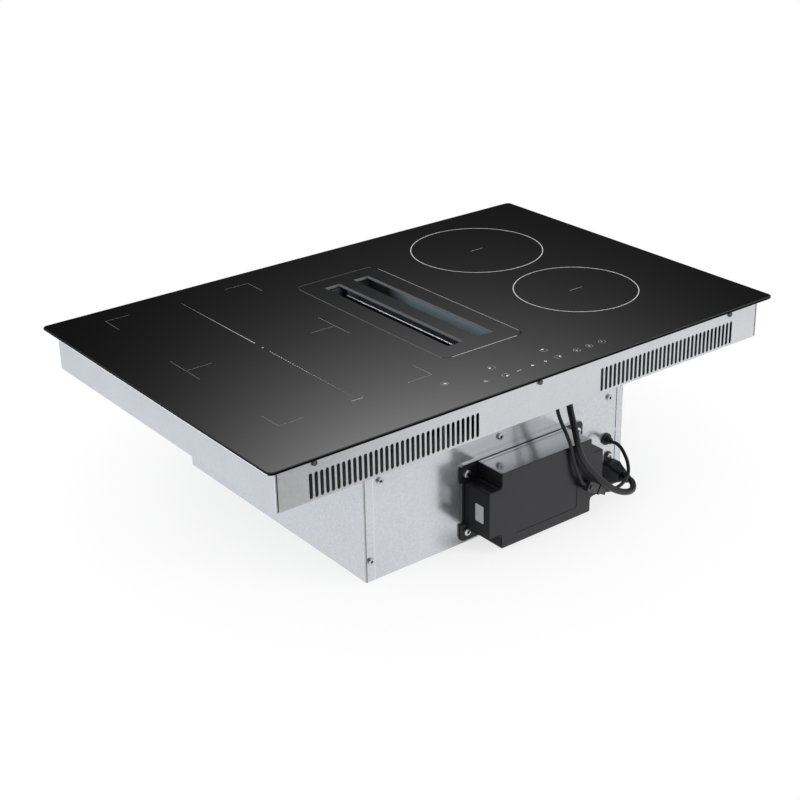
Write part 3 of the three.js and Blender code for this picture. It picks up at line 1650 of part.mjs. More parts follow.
add("supply_socket", supplySocket(), blackPlastic);
add("lead_plug", leadPlug(), blackRubber);
add("housing_grommet", housingGrommet(), blackRubber);
add("supply_grommet", panGrommet(supplyExit, supplyDiameter), blackRubber);
add("signal_grommet", panGrommet(signalExit, signalDiameter), blackRubber);
add("supply_lead", lead(supplyRoute, supplyDiameter, 14, 8), blackRubber);
add("signal_lead", lead(signalRoute, signalDiameter, 12, 8), blackRubber);
add("housing_lead", lead(housingRoute, signalDiameter, 13, 8), blackRubber);
add("connector_socket", connectorSocket(), blackPlastic);
add("connector_tab", connectorTab(), blackPlastic);

export default cooktop;
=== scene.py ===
import json
import math

import bpy
from mathutils import Matrix, Vector


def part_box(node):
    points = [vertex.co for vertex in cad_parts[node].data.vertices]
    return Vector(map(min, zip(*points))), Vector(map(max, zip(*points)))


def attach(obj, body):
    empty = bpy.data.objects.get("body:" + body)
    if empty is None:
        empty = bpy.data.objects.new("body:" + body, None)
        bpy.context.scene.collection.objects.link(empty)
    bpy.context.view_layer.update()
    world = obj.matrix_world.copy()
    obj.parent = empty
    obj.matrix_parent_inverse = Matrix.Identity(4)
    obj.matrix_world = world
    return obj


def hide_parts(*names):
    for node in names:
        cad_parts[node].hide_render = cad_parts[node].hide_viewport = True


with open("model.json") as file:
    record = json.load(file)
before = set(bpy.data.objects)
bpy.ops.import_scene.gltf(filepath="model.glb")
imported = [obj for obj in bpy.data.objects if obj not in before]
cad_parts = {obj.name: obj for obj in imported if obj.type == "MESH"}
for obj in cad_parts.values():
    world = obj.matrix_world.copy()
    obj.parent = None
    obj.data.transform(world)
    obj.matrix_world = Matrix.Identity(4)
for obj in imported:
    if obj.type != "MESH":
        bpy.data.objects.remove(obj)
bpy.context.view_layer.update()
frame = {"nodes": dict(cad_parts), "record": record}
bpy.ops.object.select_all(action="DESELECT")
nodes = frame["nodes"]
mm = 0.001
print("frame loaded:", len(nodes), "nodes")

# camera at the photograph's place; the shift puts its optical centre where the photograph has it
view = {
    "place": (-1.13762, -1.47035, 0.95931),
    "right": (0.785263, -0.618990, -0.014615),
    "down": (-0.265070, -0.314754, -0.911410),
    "ahead": (0.559553, 0.719571, -0.411241),
    "sensor": 36,
    "lens": 70.387,
    "shift": (-0.02211, -0.02124),
    "clip": (0.05, 60),
}


def addCamera():
    lens = bpy.data.cameras.new("viewCamera")
    camera = bpy.data.objects.new("viewCamera", lens)
    bpy.context.scene.collection.objects.link(camera)
    axes = [Vector(view["right"]), -Vector(view["down"]), -Vector(view["ahead"])]
    turn = Matrix(axes).transposed()
    camera.matrix_world = Matrix.Translation(view["place"]) @ turn.to_4x4()
    lens.sensor_width = view["sensor"]
    lens.lens = view["lens"]
    lens.shift_x, lens.shift_y = view["shift"]
    lens.clip_start, lens.clip_end = view["clip"]
    bpy.context.scene.camera = camera


addCamera()
bpy.context.scene.view_settings.view_transform = "Standard"
print("camera placed")

# leads: routes and thicknesses in millimetres, as in the solids
leadShape = {"steps": 8, "resolution": 6}
leads = {
    "supply": {
        "thick": 8.2,
        "end": "plug",
        "on": ["lead_plug"],
        "route": [
            (60.5, -228, 161.65), (60.5, -228, 156), (59.6, -232, 145), (57.6, -240, 131),
            (55.6, -247.5, 117), (56.2, -252, 103), (60.4, -254.5, 90.5), (67, -256.8, 78.5),
            (75, -259.5, 68), (83.5, -262, 57.5), (92.5, -264, 48), (104.2, -265.3, 37.8),
            (117.7, -265.3, 29.5), (131.2, -263.8, 23.8), (143, -260, 21), (152, -253.5, 20.6),
            (158.2, -245.5, 21), (160, -240.45, 21.3), (160, -236.75, 21.3),
        ],
    },
    "signal": {
        "thick": 4.6,
        "end": "connector",
        "on": ["connector_socket"],
        "route": [
            (38.4, -230, 161.65), (38.4, -230, 157), (38.5, -233.5, 147.5), (39.4, -239, 136.5),
            (40.8, -244.5, 127), (42.8, -249.3, 115), (45.3, -250.6, 104), (48, -251.2, 92),
            (52, -252, 79), (56, -253, 68), (60.5, -254.1, 57.5), (65.35, -254.16, 53.3),
            (67.78, -254.2, 50.97),
        ],
    },
    "housing": {
        "thick": 4.6,
        "end": "connector",
        "on": ["connector_tab"],
        "route": [
            (155.5, -207.75, 65.5), (155.5, -211.45, 65.5), (155.6, -218, 66), (156.3, -225, 62.8),
            (156.4, -231.5, 56.5), (156, -237.5, 48.5), (153.5, -242.5, 40.5), (148.5, -246.5, 35),
            (140, -250, 31.5), (129.4, -253, 29.6), (119, -255, 29.8), (109.5, -255.6, 30.6),
            (101.6, -255.2, 32.5), (98.55, -255.1, 34.07),
        ],
    },
}


def smoothRoute(points, steps):  # a smooth curve through every point
    made = []
    ends = [2 * points[0] - points[1], *points, 2 * points[-1] - points[-2]]
    for a, b, c, d in zip(ends, ends[1:], ends[2:], ends[3:]):
        for step in range(steps):
            t = step / steps
            square = (2 * a - 5 * b + 4 * c - d) * t * t
            cube = (3 * b - a - 3 * c + d) * t * t * t
            made.append(0.5 * (2 * b + (c - a) * t + square + cube))
    return [*made, points[-1]]


def addLead(name, lead):
    route = smoothRoute([Vector(p) * mm for p in lead["route"]], leadShape["steps"])
    length = sum((b - a).length for a, b in zip(route, route[1:]))
    curve = bpy.data.curves.new(name + "Cord", "CURVE")
    curve.dimensions = "3D"
    spline = curve.splines.new("POLY")
    spline.points.add(len(route) - 1)
    for point, place in zip(spline.points, route):
        point.co = (*place, 1)
    curve.bevel_depth = lead["thick"] * mm / 2
    curve.bevel_resolution = leadShape["resolution"]
    curve.use_fill_caps = True
    cord = bpy.data.objects.new(name + "Cord", curve)
    bpy.context.scene.collection.objects.link(cord)
    bpy.ops.object.select_all(action="DESELECT")
    bpy.context.view_layer.objects.active = cord
    cord.select_set(True)
    bpy.ops.object.convert(target="MESH")
    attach(cord, "hob")
    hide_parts(name + "_lead")


for name, lead in leads.items():
    addLead(name, lead)
print("leads laid")


# shader maths written as Python expressions
class Wire:
    def __init__(self, tree, socket):
        self.tree = tree
        self.socket = socket

    def work(self, operation, *values):
        made = self.tree.nodes.new("ShaderNodeMath")
        made.operation = operation
        for place, value in enumerate(values):
            feed(self.tree, value, made.inputs[place])
        return Wire(self.tree, made.outputs[0])

    def __add__(self, other):
        return self.work("ADD", self, other)

    def __radd__(self, other):
        return self.work("ADD", other, self)

    def __sub__(self, other):
        return self.work("SUBTRACT", self, other)

    def __rsub__(self, other):
        return self.work("SUBTRACT", other, self)

    def __mul__(self, other):
        return self.work("MULTIPLY", self, other)

    def __rmul__(self, other):
        return self.work("MULTIPLY", other, self)

    def __pow__(self, other):
        return self.work("POWER", self, other)

    def __rpow__(self, other):
        return self.work("POWER", other, self)

    def __lt__(self, other):
        return self.work("LESS_THAN", self, other)

    def __gt__(self, other):
        return self.work("GREATER_THAN", self, other)

    def __abs__(self):
        return self.work("ABSOLUTE", self)

    def held(self):  # kept from 0 to 1
        made = self.work("ADD", self, 0.0)
        made.socket.node.use_clamp = True
        return made


def feed(tree, value, socket):
    if isinstance(value, Wire):
        tree.links.new(value.socket, socket)
    elif hasattr(value, "__len__") and len(value) == 3 and len(socket.default_value) == 4:
        socket.default_value = (*value, 1)
    else:
        socket.default_value = value


class Shading:
    def __init__(self, tree):
        self.tree = tree

    def node(self, kind, settings=None, sockets=None, out=0):
        made = self.tree.nodes.new(kind)
        for key, value in (settings or {}).items():
            setattr(made, key, value)
        for key, value in (sockets or {}).items():
            feed(self.tree, value, made.inputs[key])
        return Wire(self.tree, made.outputs[out]) if made.outputs else None

    def maths(self, operation, *values):  # for what has no sign in Python
        return self.node("ShaderNodeMath", {"operation": operation}, dict(enumerate(values)))

    def place(self):  # the piece's own coordinates in metres
        return self.node("ShaderNodeTexCoord", out="Object")

    def parts(self, vector):  # its x, y and z
        split = self.node("ShaderNodeSeparateXYZ", sockets={"Vector": vector})
        return [Wire(self.tree, o) for o in split.socket.node.outputs]

    def facing(self):  # which way the face looks: right, back and up
        return self.parts(self.node("ShaderNodeNewGeometry", out="True Normal"))

    def rays(self, *kinds):  # 1 for a ray of that kind
        path = self.node("ShaderNodeLightPath").socket.node.outputs
        return [Wire(self.tree, path[kind]) for kind in kinds]

    def noise(self, vector, scale, detail=2.0, roughness=0.5):
        sockets = {"Vector": vector, "Scale": scale, "Detail": detail, "Roughness": roughness}
        return self.node("ShaderNodeTexNoise", sockets=sockets)

    def streaks(self, vector, scales, detail=2.0):  # noise drawn out where its scale is small
        drawn = self.node("ShaderNodeMapping", sockets={"Vector": vector, "Scale": scales})
        return self.noise(drawn, scale=1.0, detail=detail)

    def cells(self, vector, scale, out):
        sockets = {"Vector": vector, "Scale": scale}
        return self.node("ShaderNodeTexVoronoi", {"feature": "F1"}, sockets, out)

    def mix(self, first, second, share):  # colours
        return self.node("ShaderNodeMix", {"data_type": "RGBA"}, {0: share, 6: first, 7: second}, out=2)

    def between(self, wire, low, high):  # a 0 to 1 wire spread from low to high
        return wire * (high - low) + low

    def relief(self, height, depth):  # depth in millimetres
        sockets = {"Height": height, "Distance": depth * mm, "Strength": 1.0}
        return self.node("ShaderNodeBump", sockets=sockets)


class Finish(Shading):
    def __init__(self, name, **levels):
        self.material = bpy.data.materials.new(name)
        self.material.use_nodes = True
        super().__init__(self.material.node_tree)
        self.shader = self.tree.nodes["Principled BSDF"]
        self.surface = Wire(self.tree, self.shader.outputs[0])
        self.set(**levels)

    def set(self, **levels):
        names = {
            "color": "Base Color",
            "rough": "Roughness",
            "metal": "Metallic",
            "ior": "IOR",
            "coat": "Coat Weight",
            "coatRough": "Coat Roughness",
            "specular": "Specular IOR Level",
            "normal": "Normal",
        }
        for key, value in levels.items():
            feed(self.tree, value, self.shader.inputs[names[key]])

    def covered(self, share, other):  # another shader where share is 1
        self.surface = self.node("ShaderNodeMixShader", sockets={0: share, 1: self.surface, 2: other})
        self.tree.links.new(self.surface.socket, self.tree.nodes["Material Output"].inputs["Surface"])

    def patched(self, share, color, rough, specular=0.5, metal=0.0):  # a second finish where share is 1
        sockets = {"Base Color": color, "Roughness": rough}
        sockets |= {"Specular IOR Level": specular, "Metallic": metal}
        self.covered(share, self.node("ShaderNodeBsdfPrincipled", sockets=sockets))


def shaded(color, level):  # a colour made darker or lighter
    return tuple(min(1, c * level) for c in color)


# finishes: colours are linear, places in metres, and texture scales are per metre
glassLook = {
    "cleanAndLit": (0.0026, 0.0026, 0.0028),
    "dusty": (0.0045, 0.0045, 0.0047),
    "dustScale": 900.0,
    "smearScale": (9, 5, 5),
    "rough": (0.02, 0.06),
    "vent": (0.1, 0.2),  # half the width and depth around the vent's open joint and slots
    "ground": ((0.01, 0.011, 0.013), (0.33, 0.335, 0.35)),
    "pitScale": 1500.0,
    "joint": (0.055, -0.14),  # right of the first or in front of the second the joint's walls get a painted highlight
    "jointPaintedHighlight": (0.5, 0.51, 0.52),
    "jointCorner": (0.008, 0.008, 0.008),
    "rim": (0.0015, 0.0015, 0.0015),
    "chamfer": (0.03, 0.03, 0.032),
    "paintedLeftEdgeReflection": {"x": -0.38, "z": 0.2194, "color": (0.92, 0.93, 0.94)},  # painted reflection of the floor on the left edge's lower part
}


def blackGlassFinish():
    look = glassLook
    made = Finish("blackGlass", ior=1.5)
    where = made.place()
    x, y, z = made.parts(where)
    right, back, up = made.facing()
    smear = made.streaks(where, look["smearScale"], detail=3)
    dust = made.noise(where, look["dustScale"], detail=1)
    made.set(color=made.mix(look["cleanAndLit"], look["dusty"], dust), rough=made.between(smear, *look["rough"]))

    side = abs(up) < 0.95  # walls and chamfers
    vent = (abs(x) < look["vent"][0]) * (abs(y) < look["vent"][1])
    joint = ((x > look["joint"][0]) + (y < look["joint"][1])).held()
    straight = abs(right * back) < 0.03  # not in a rounded corner
    ground = made.mix(*look["ground"], made.noise(where, look["pitScale"], detail=2, roughness=0.7))
    # painted highlight on the joint's straight walls; its rounded corners stay near-black
    ground = made.mix(ground, look["jointPaintedHighlight"], joint * straight)
    ground = made.mix(ground, look["jointCorner"], joint * (1 - straight))
    made.patched(side * vent, ground, rough=0.7, specular=0.3)
    made.patched(side * (1 - vent), look["rim"], rough=0.5, specular=0.04)
    made.patched(side * (up > 0.3) * (1 - vent), look["chamfer"], rough=0.4)
    # painted reflection: the lower part of the glass's left edge is near white
    edge = look["paintedLeftEdgeReflection"]
    made.patched((right < -0.9) * (z < edge["z"]) * (x < edge["x"]), edge["color"], rough=0.4)
    return made.material


zincLook = {
    "metal": 0.8,
    "flakeScale": 380.0,
    "grainScale": 900.0,
    "cloudScale": 16.0,
    "shares": (0.3, 1.5, 0.7),  # of flakes, grain and clouds in the tint
}


def zincSheetFinish(name, color, contrast=0.07, rough=(0.3, 0.42), depth=0.03):
    look = zincLook
    made = Finish(name, metal=look["metal"])
    where = made.place()
    flakes = made.parts(made.cells(where, look["flakeScale"], "Color"))[0]
    grain = made.noise(where, look["grainScale"], detail=3, roughness=0.65)
    clouds = made.noise(where, look["cloudScale"], detail=3)
    ofFlakes, ofGrain, ofClouds = look["shares"]
    level = flakes * ofFlakes + (grain - 0.5) * ofGrain + clouds * ofClouds
    dark, light = shaded(color, 1 - 2 * contrast), shaded(color, 1 + 0.6 * contrast)
    made.set(color=made.mix(dark, light, level.held()))
    made.set(rough=made.between(flakes, *rough), normal=made.relief(grain, depth=depth))
    return made


# the housing's folded left edge: a dark joint and a faint painted highlight along the bend beside it, each
# with half its width
housingLook = {
    "color": (0.60, 0.62, 0.65),
    "front": -0.19,
    "joint": (-0.2277, 0.0009),
    "jointColor": (0.16, 0.16, 0.17),
    "bend": (-0.2156, 0.0006),
    "bendHighlightShare": 0.25,
    "bendHighlightColor": (0.9, 0.91, 0.92),
}


def housingSheetFinish():
    look = housingLook
    made = zincSheetFinish("housingSheet", look["color"], contrast=0.08, rough=(0.17, 0.24), depth=0.008)
    x, y = made.parts(made.place())[:2]
    front = (made.facing()[1] < -0.3) * (y < look["front"])
    (joint, jointHalf), (bend, bendHalf) = look["joint"], look["bend"]
    made.patched(front * (abs(x - joint) < jointHalf), look["jointColor"], rough=0.5)
    # painted highlight along the bend
    made.patched(front * (abs(x - bend) < bendHalf) * look["bendHighlightShare"], look["bendHighlightColor"], rough=0.5)
    return made.material


# the pan's left wall at its front corner: a painted highlight, and painted shade of the corner slit at the
# very front; widths from its front end, the bright one behind the dark one
panLook = {
    "color": (0.61, 0.625, 0.65),
    "wall": 0.002,
    "paintedLight": (0.0021, (0.86, 0.87, 0.88)),
    "dark": (0.001, (0.03, 0.03, 0.032)),
}


def panSheetFinish():
    look = panLook
    made = zincSheetFinish("panSheet", look["color"])
    x, y = made.parts(made.place())[:2]
    left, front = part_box("pan")[0][:2]
    wall = (made.facing()[0] < -0.6) * (x < left + look["wall"])
    (highlightWidth, highlightColor), (slitShadeWidth, slitShadeColor) = look["paintedLight"], look["dark"]
    # painted highlight along the corner, then painted shade of the slit in front of it
    made.patched(wall * (y < front + highlightWidth), highlightColor, rough=0.55)
    made.patched(wall * (y < front + slitShadeWidth), slitShadeColor, rough=0.6)
    return made.material


def rolledMetalFinish(name, color, along=(60, 2500, 2500), rough=(0.2, 0.36), metal=1.0):
    made = Finish(name, metal=metal)
    where = made.place()
    lines = made.streaks(where, along)
    clouds = made.noise(where, scale=22.0)
    made.set(color=made.mix(shaded(color, 0.86), color, (lines * 0.5 + clouds * 0.6).held()))
    made.set(rough=made.between(lines, *rough), normal=made.relief(lines, depth=0.01))
    return made.material


def mouldedFinish(name, color, rough=(0.3, 0.42), skinScale=2600.0, coat=0.0, specular=0.5):
    made = Finish(name, coat=coat, coatRough=0.12, specular=specular)
    where = made.place()
    skin = made.noise(where, skinScale)
    clouds = made.noise(where, scale=30.0, detail=3)
    made.set(color=made.mix(shaded(color, 0.85), shaded(color, 1.12), clouds))
    made.set(rough=made.between(clouds, *rough), normal=made.relief(skin, depth=0.015))
    return made.material


boxLook = {
    "shell": ((0.008, 0.008, 0.0095), (0.014, 0.0135, 0.016)),
    "rough": (0.28, 0.36),
    "end": (0.006, 0.006, 0.006),
    "endShadeShare": 0.7,
    "lidHeight": 0.0995,
    "lidSheen": ((0.4, 0.405, 0.41), (0.52, 0.53, 0.54)),
    "lidSheenStreaks": (8, 40, 40),
}


def boxShellFinish():  # satin sides, painted sheen on the lid, and painted shade on the matt left end
    look = boxLook
    made = Finish("boxShell", specular=0.36)
    where = made.place()
    height = made.parts(where)[2]
    right, up = made.facing()[::2]
    clouds = made.noise(where, scale=30.0, detail=3)
    made.set(color=made.mix(*look["shell"], clouds), rough=made.between(clouds, *look["rough"]))
    made.set(normal=made.relief(made.noise(where, scale=2600.0), depth=0.012))
    # painted shade: the left end darker
    made.patched((right < -0.5) * look["endShadeShare"], look["end"], rough=0.6, specular=0.1)
    # painted sheen: the lid bright and streaked
    paintedSheen = made.mix(*look["lidSheen"], made.streaks(where, look["lidSheenStreaks"]))
    made.patched((up > 0.9) * (height > look["lidHeight"]), paintedSheen, rough=0.14, metal=1.0)
    return made.material


def foamFinish():
    made = Finish("closedCellFoam", rough=0.85)
    cells = made.cells(made.place(), scale=1400.0, out="Distance")
    made.set(color=made.mix((0.012, 0.012, 0.013), (0.03, 0.03, 0.032), cells))
    made.set(normal=made.relief(cells, depth=0.1))
    return made.material


meshLook = {
    "pitch": 1150.0,  # of the crossing strands
    "slope": 0.9,
    "paintedShade": ((0.012, 0.014, 0.02), (0.06, 0.075, 0.1)),
    "paintedLight": ((0.42, 0.52, 0.58), (0.85, 0.95, 1.0)),
    "litFrom": (0.026, 0.1),  # painted light right of the first and in front of the second
    "litSlope": (160, 16),  # how fast along each
}


def meshPanelFinish():  # expanded aluminium layers of the grease filter, with painted light at the right and front and painted shade elsewhere
    look = meshLook
    made = Finish("filterMesh", metal=0.05)
    where = made.place()
    x, y, z = made.parts(where)
    rows = abs(made.maths("SINE", (y + z * look["slope"]) * look["pitch"]))
    columns = abs(made.maths("SINE", (y - z * look["slope"]) * look["pitch"]))
    strands = (rows + columns) * 0.5
    raised = (strands ** 1.5).held()
    (fromX, fromY), (slopeX, slopeY) = look["litFrom"], look["litSlope"]
    # painted light right of x and in front of y, painted shade elsewhere
    cleanAndLit = ((x - fromX) * slopeX).held() * ((fromY - y) * slopeY).held()
    made.set(color=made.mix(made.mix(*look["paintedShade"], raised), made.mix(*look["paintedLight"], raised), cleanAndLit))
    made.set(rough=made.between(made.noise(where, scale=60.0), 0.3, 0.5))
    made.set(normal=made.relief(strands, depth=0.5))
    return made.material


filterFrameLook = {
    "brushed": ((0.53, 0.57, 0.62), (0.62, 0.66, 0.72)),
    "lineScale": (60, 2500, 2500),
    "wall": (0.0399, 0.0006),  # the right inner wall and how far from it
    "litFrom": (0.105, 22),  # painted light in front of this y, and how fast
    "highFrom": (0.202, 95),  # lighter above this height, and how fast
    "paintedShade": (0.02, 0.024, 0.03),
    "paintedWallShading": ((0.19, 0.245, 0.28), (0.27, 0.335, 0.38)),
}


def filterFrameFinish():  # brushed; the right inner wall is duller, with painted shade at its back and painted light at its front, lighter towards its top
    look = filterFrameLook
    made = Finish("filterFrame", metal=0.9)
    where = made.place()
    x, y, z = made.parts(where)
    lines = made.streaks(where, look["lineScale"])
    made.set(color=made.mix(*look["brushed"], lines), rough=made.between(lines, 0.3, 0.45))
    made.set(normal=made.relief(lines, depth=0.01))
    wall, near = look["wall"]
    (back, litSlope), (low, highSlope) = look["litFrom"], look["highFrom"]
    # painted shade and painted light on the right inner wall
    high = made.mix(*look["paintedWallShading"], ((z - low) * highSlope).held())
    paintedWallShading = made.mix(look["paintedShade"], high, ((back - y) * litSlope).held())
    made.patched((made.facing()[0] < -0.9) * (abs(x - wall) < near), paintedWallShading, rough=0.5, specular=0.3)
    return made.material


windingLook = {
    "pitch": 4200.0,  # of the turns, from the winding's middle outwards
    "enamel": ((0.16, 0.055, 0.025), (0.55, 0.25, 0.12)),
}


def windingFinish():  # stranded wire laid side by side
    look = windingLook
    made = Finish("enamelledWire", metal=0.85)
    x, y = made.parts(made.place())[:2]
    strands = made.maths("SINE", (x * x + y * y) ** 0.5 * look["pitch"]) * 0.5 + 0.5
    made.set(color=made.mix(*look["enamel"], strands))
    made.set(rough=made.between(strands, 0.3, 0.45), normal=made.relief(strands, depth=0.2))
    return made.material


circuitLook = {
    "mask": ((0.006, 0.05, 0.022), (0.02, 0.11, 0.05)),
    "pad": (0.45, 0.42, 0.3),
    "padScale": 210.0,
    "padSize": 0.16,
    "tracks": {"Scale": 90.0, "Mortar Size": 0.06, "Color1": (0, 0, 0), "Color2": (0.2, 0.2, 0.2),
               "Mortar": (1, 1, 1)},
}


def circuitFinish():  # solder mask with tracks and pads
    look = circuitLook
    made = Finish("circuitBoard")
    where = made.place()
    tracks = made.node("ShaderNodeTexBrick", {"offset": 0.35}, {"Vector": where, **look["tracks"]})
    pads = made.cells(where, look["padScale"], "Distance") < look["padSize"]
    made.set(color=made.mix(made.mix(*look["mask"], tracks), look["pad"], pads))
    made.set(rough=made.between(pads, 0.42, 0.25))
    return made.material


def leadFinish(name, color, rough):
    made = Finish(name, specular=0.36)
    where = made.place()
    clouds = made.noise(where, scale=420.0)
    skin = made.noise(where, scale=2200.0)
    made.set(color=made.mix(shaded(color, 0.8), shaded(color, 1.25), clouds))
    made.set(rough=made.between(clouds, *rough), normal=made.relief(skin, depth=0.02))
    return made.material


def inkFinish(name, color, fade=None):  # fade dims a line along y away from its middle
    made = Finish(name)
    where = made.place()
    speck = made.noise(where, scale=1800.0, detail=1)
    tint = made.mix(shaded(color, 0.9), color, speck)
    if fade:
        away = abs(made.parts(where)[1] - fade["middle"] * mm)
        near = (1 - away * (1 / (fade["reach"] * mm))).held()
        tint = made.mix(shaded(color, fade["level"]), tint, near)
    made.set(color=tint, rough=made.between(speck, 0.3, 0.42))
    return made.material


handleLook = {
    "bar": ((0.012, 0.014, 0.02), (0.04, 0.045, 0.06)),
    "wearScale": (900, 40, 900),
    "line": (-0.0043, 0.001),  # its x and half its width
    "below": 0.21,
    "paintedHighlightColor": (0.93, 0.94, 0.97),
}


def handleFinish():  # a bar painted dark as shade, with a painted highlight line along its top
    look = handleLook
    made = Finish("handleMetal", metal=0.8)
    where = made.place()
    x, z = made.parts(where)[::2]
    wear = made.streaks(where, look["wearScale"])
    made.set(color=made.mix(*look["bar"], wear), rough=made.between(wear, 0.3, 0.45))
    line, half = look["line"]
    # painted highlight along the top of the bar
    highlightMask = (made.facing()[2] > 0.9) * (abs(x - line) < half) * (z < look["below"])
    made.patched(highlightMask, look["paintedHighlightColor"], rough=0.35, metal=0.2)
    return made.material


def screwMetalFinish(name, color, rough):
    made = Finish(name, metal=1.0)
    lines = made.noise(made.place(), scale=1600.0)
    made.set(color=made.mix(shaded(color, 0.8), color, lines), rough=made.between(lines, *rough))
    made.set(normal=made.relief(lines, depth=0.02))
    return made.material


def labelFinish():  # bare paper, a little scuffed; the white paper is painted grey as shade
    made = Finish("bareLabel", specular=0.3)
    where = made.place()
    fibre = made.noise(where, scale=1300.0, detail=3)
    scuff = made.noise(where, scale=160.0)
    worn = (fibre * 0.5 + scuff * 0.5).held()
    made.set(color=made.mix((0.27, 0.275, 0.28), (0.52, 0.525, 0.54), worn))
    made.set(rough=made.between(fibre, 0.45, 0.6), normal=made.relief(fibre, depth=0.02))
    return made.material


finishes = {
    "black_glass": blackGlassFinish(),
    "seal_foam": foamFinish(),
    "silicone": mouldedFinish("siliconeBead", (0.03, 0.03, 0.032), rough=(0.4, 0.55), skinScale=900.0),
    "galvanised_sheet": zincSheetFinish("galvanisedSheet", panLook["color"]).material,
    "bright_steel": rolledMetalFinish("brightSteel", (0.56, 0.59, 0.63)),
    "aluminium": rolledMetalFinish("millAluminium", (0.62, 0.66, 0.72), rough=(0.3, 0.45), metal=0.9),
    "copper_winding": windingFinish(),
    "stator_iron": rolledMetalFinish("statorIron", (0.32, 0.2, 0.13), (40, 40, 2200), rough=(0.4, 0.6)),
    "circuit_board": circuitFinish(),
    "white_plastic": mouldedFinish("whitePlastic", (0.6, 0.6, 0.57), rough=(0.45, 0.6)),
    "grey_plastic": mouldedFinish("greyPlastic", (0.09, 0.095, 0.1), rough=(0.4, 0.55)),
    "black_plastic": mouldedFinish("blackPlastic", (0.022, 0.022, 0.025), rough=(0.3, 0.4), coat=0.15),
    "black_rubber": leadFinish("softBlack", (0.009, 0.009, 0.0105), rough=(0.36, 0.48)),
}
# painted shade: the glass frame and the well's duct are dark so that the vent's slots look dark inside
paintedShadeSheet = rolledMetalFinish("paintedShadeSheet", (0.10, 0.105, 0.115), rough=(0.4, 0.55), metal=0.8)
housingSheet = housingSheetFinish()
boxShell = boxShellFinish()
special = {  # nodes that get a finish of their own in place of their slot's
    "filter_mesh": meshPanelFinish(),
    "filter_frame": filterFrameFinish(),
    "filter_handle": handleFinish(),
    "glass_frame": paintedShadeSheet,
    "well_duct": paintedShadeSheet,
    "housing_shell": housingSheet,
    "housing_front_plate": housingSheet,
    "pan": panSheetFinish(),
    "control_box_base": boxShell,
    "control_box_cover": boxShell,
    "lead_plug": mouldedFinish("plugBlack", (0.007, 0.007, 0.008), rough=(0.4, 0.5), specular=0.24),
}
for part in frame["record"]["subparts"]:
    name = part["node"]
    nodes[name].data.materials.clear()
    nodes[name].data.materials.append(special.get(name, finishes[part["material_slot"]]))
for name in leads:
    bpy.data.objects[name + "Cord"].data.materials.append(finishes["black_rubber"])
print("finishes made:", len(finishes))


# making and placing pieces
def alone(piece):  # only this piece is selected
    bpy.ops.object.select_all(action="DESELECT")
    bpy.context.view_layer.objects.active = piece
    piece.select_set(True)


def applied():  # the place goes into the mesh
    bpy.ops.object.transform_apply(location=True, rotation=True, scale=True)


def joined(pieces):
    alone(pieces[0])
    for piece in pieces[1:]:
        piece.select_set(True)
    bpy.ops.object.join()
    return pieces[0]


def settled(piece, name, finish):
    alone(piece)
    applied()
    piece.name = name
    piece.data.name = name
    piece.data.materials.clear()
    piece.data.materials.append(finish)
    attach(piece, "hob")


def picked(piece, wanted):  # edit mode with only the wanted faces selected
    alone(piece)
    for parts in (piece.data.vertices, piece.data.edges, piece.data.polygons):
        parts.foreach_set("select", [False] * len(parts))
    for face in piece.data.polygons:
        face.select = wanted(face)
    bpy.context.tool_settings.mesh_select_mode = (False, False, True)
    bpy.ops.object.mode_set(mode="EDIT")


def modified(piece, kind, **settings):
    alone(piece)
    bpy.ops.object.modifier_add(type=kind)
    added = piece.modifiers[-1]
    for key, value in settings.items():
        setattr(added, key, value)
    bpy.ops.object.modifier_apply(modifier=added.name)


# printed zone and control marks on the glass, in millimetres
ink = {"lift": 222.01, "thick": 0.05}


def flatBar(x1, x2, y1, y2):
    place = ((x1 + x2) / 2 * mm, (y1 + y2) / 2 * mm, ink["lift"] * mm)
    bpy.ops.mesh.primitive_plane_add(size=1, location=place)
    bar = bpy.context.object
    bar.scale = (abs(x2 - x1) * mm, abs(y2 - y1) * mm, 1)
    applied()
    return bar


def flatRound(x, y, radius, sides, line=0.0):  # a disc, or a ring whose line has its middle at the radius
    place = Vector((x, y, ink["lift"])) * mm
    bpy.ops.mesh.primitive_circle_add(vertices=sides, radius=(radius + line / 2) * mm, fill_type="NGON",
                                      location=place)
    made = bpy.context.object
    if line:
        bpy.ops.object.mode_set(mode="EDIT")
        bpy.ops.mesh.select_all(action="SELECT")
        bpy.ops.mesh.inset(thickness=line * mm)
        bpy.ops.mesh.delete(type="FACE")
        bpy.ops.object.mode_set(mode="OBJECT")
    applied()
    return made


def inked(marks, name, finish):  # the marks become one thin layer of ink
    layer = joined(marks)
    modified(layer, "SOLIDIFY", thickness=ink["thick"] * mm, offset=-1.0)
    settled(layer, name, finish)


# a circle is its middle and radius; a dash stands at each middle
circles = {
    "line": 1.3,
    "sides": 160,
    "places": [(212.7, 125.8, 93.0), (212.3, -77.0, 82.4)],
    "color": (0.62, 0.62, 0.62),
    "dash": {"reach": 11.0, "line": 1.1, "color": (0.22, 0.22, 0.22)},
}


def addCircles():
    line, sides = circles["line"], circles["sides"]
    rings = [flatRound(x, y, radius, sides, line) for x, y, radius in circles["places"]]
    inked(rings, "rightZoneCircles", inkFinish("brightInk", circles["color"]))
    dash = circles["dash"]
    reach, half = dash["reach"], dash["line"] / 2
    dashes = [flatBar(x - reach, x + reach, y - half, y + half) for x, y, radius in circles["places"]]
    inked(dashes, "rightZoneCentres", inkFinish("dimInk", dash["color"]))


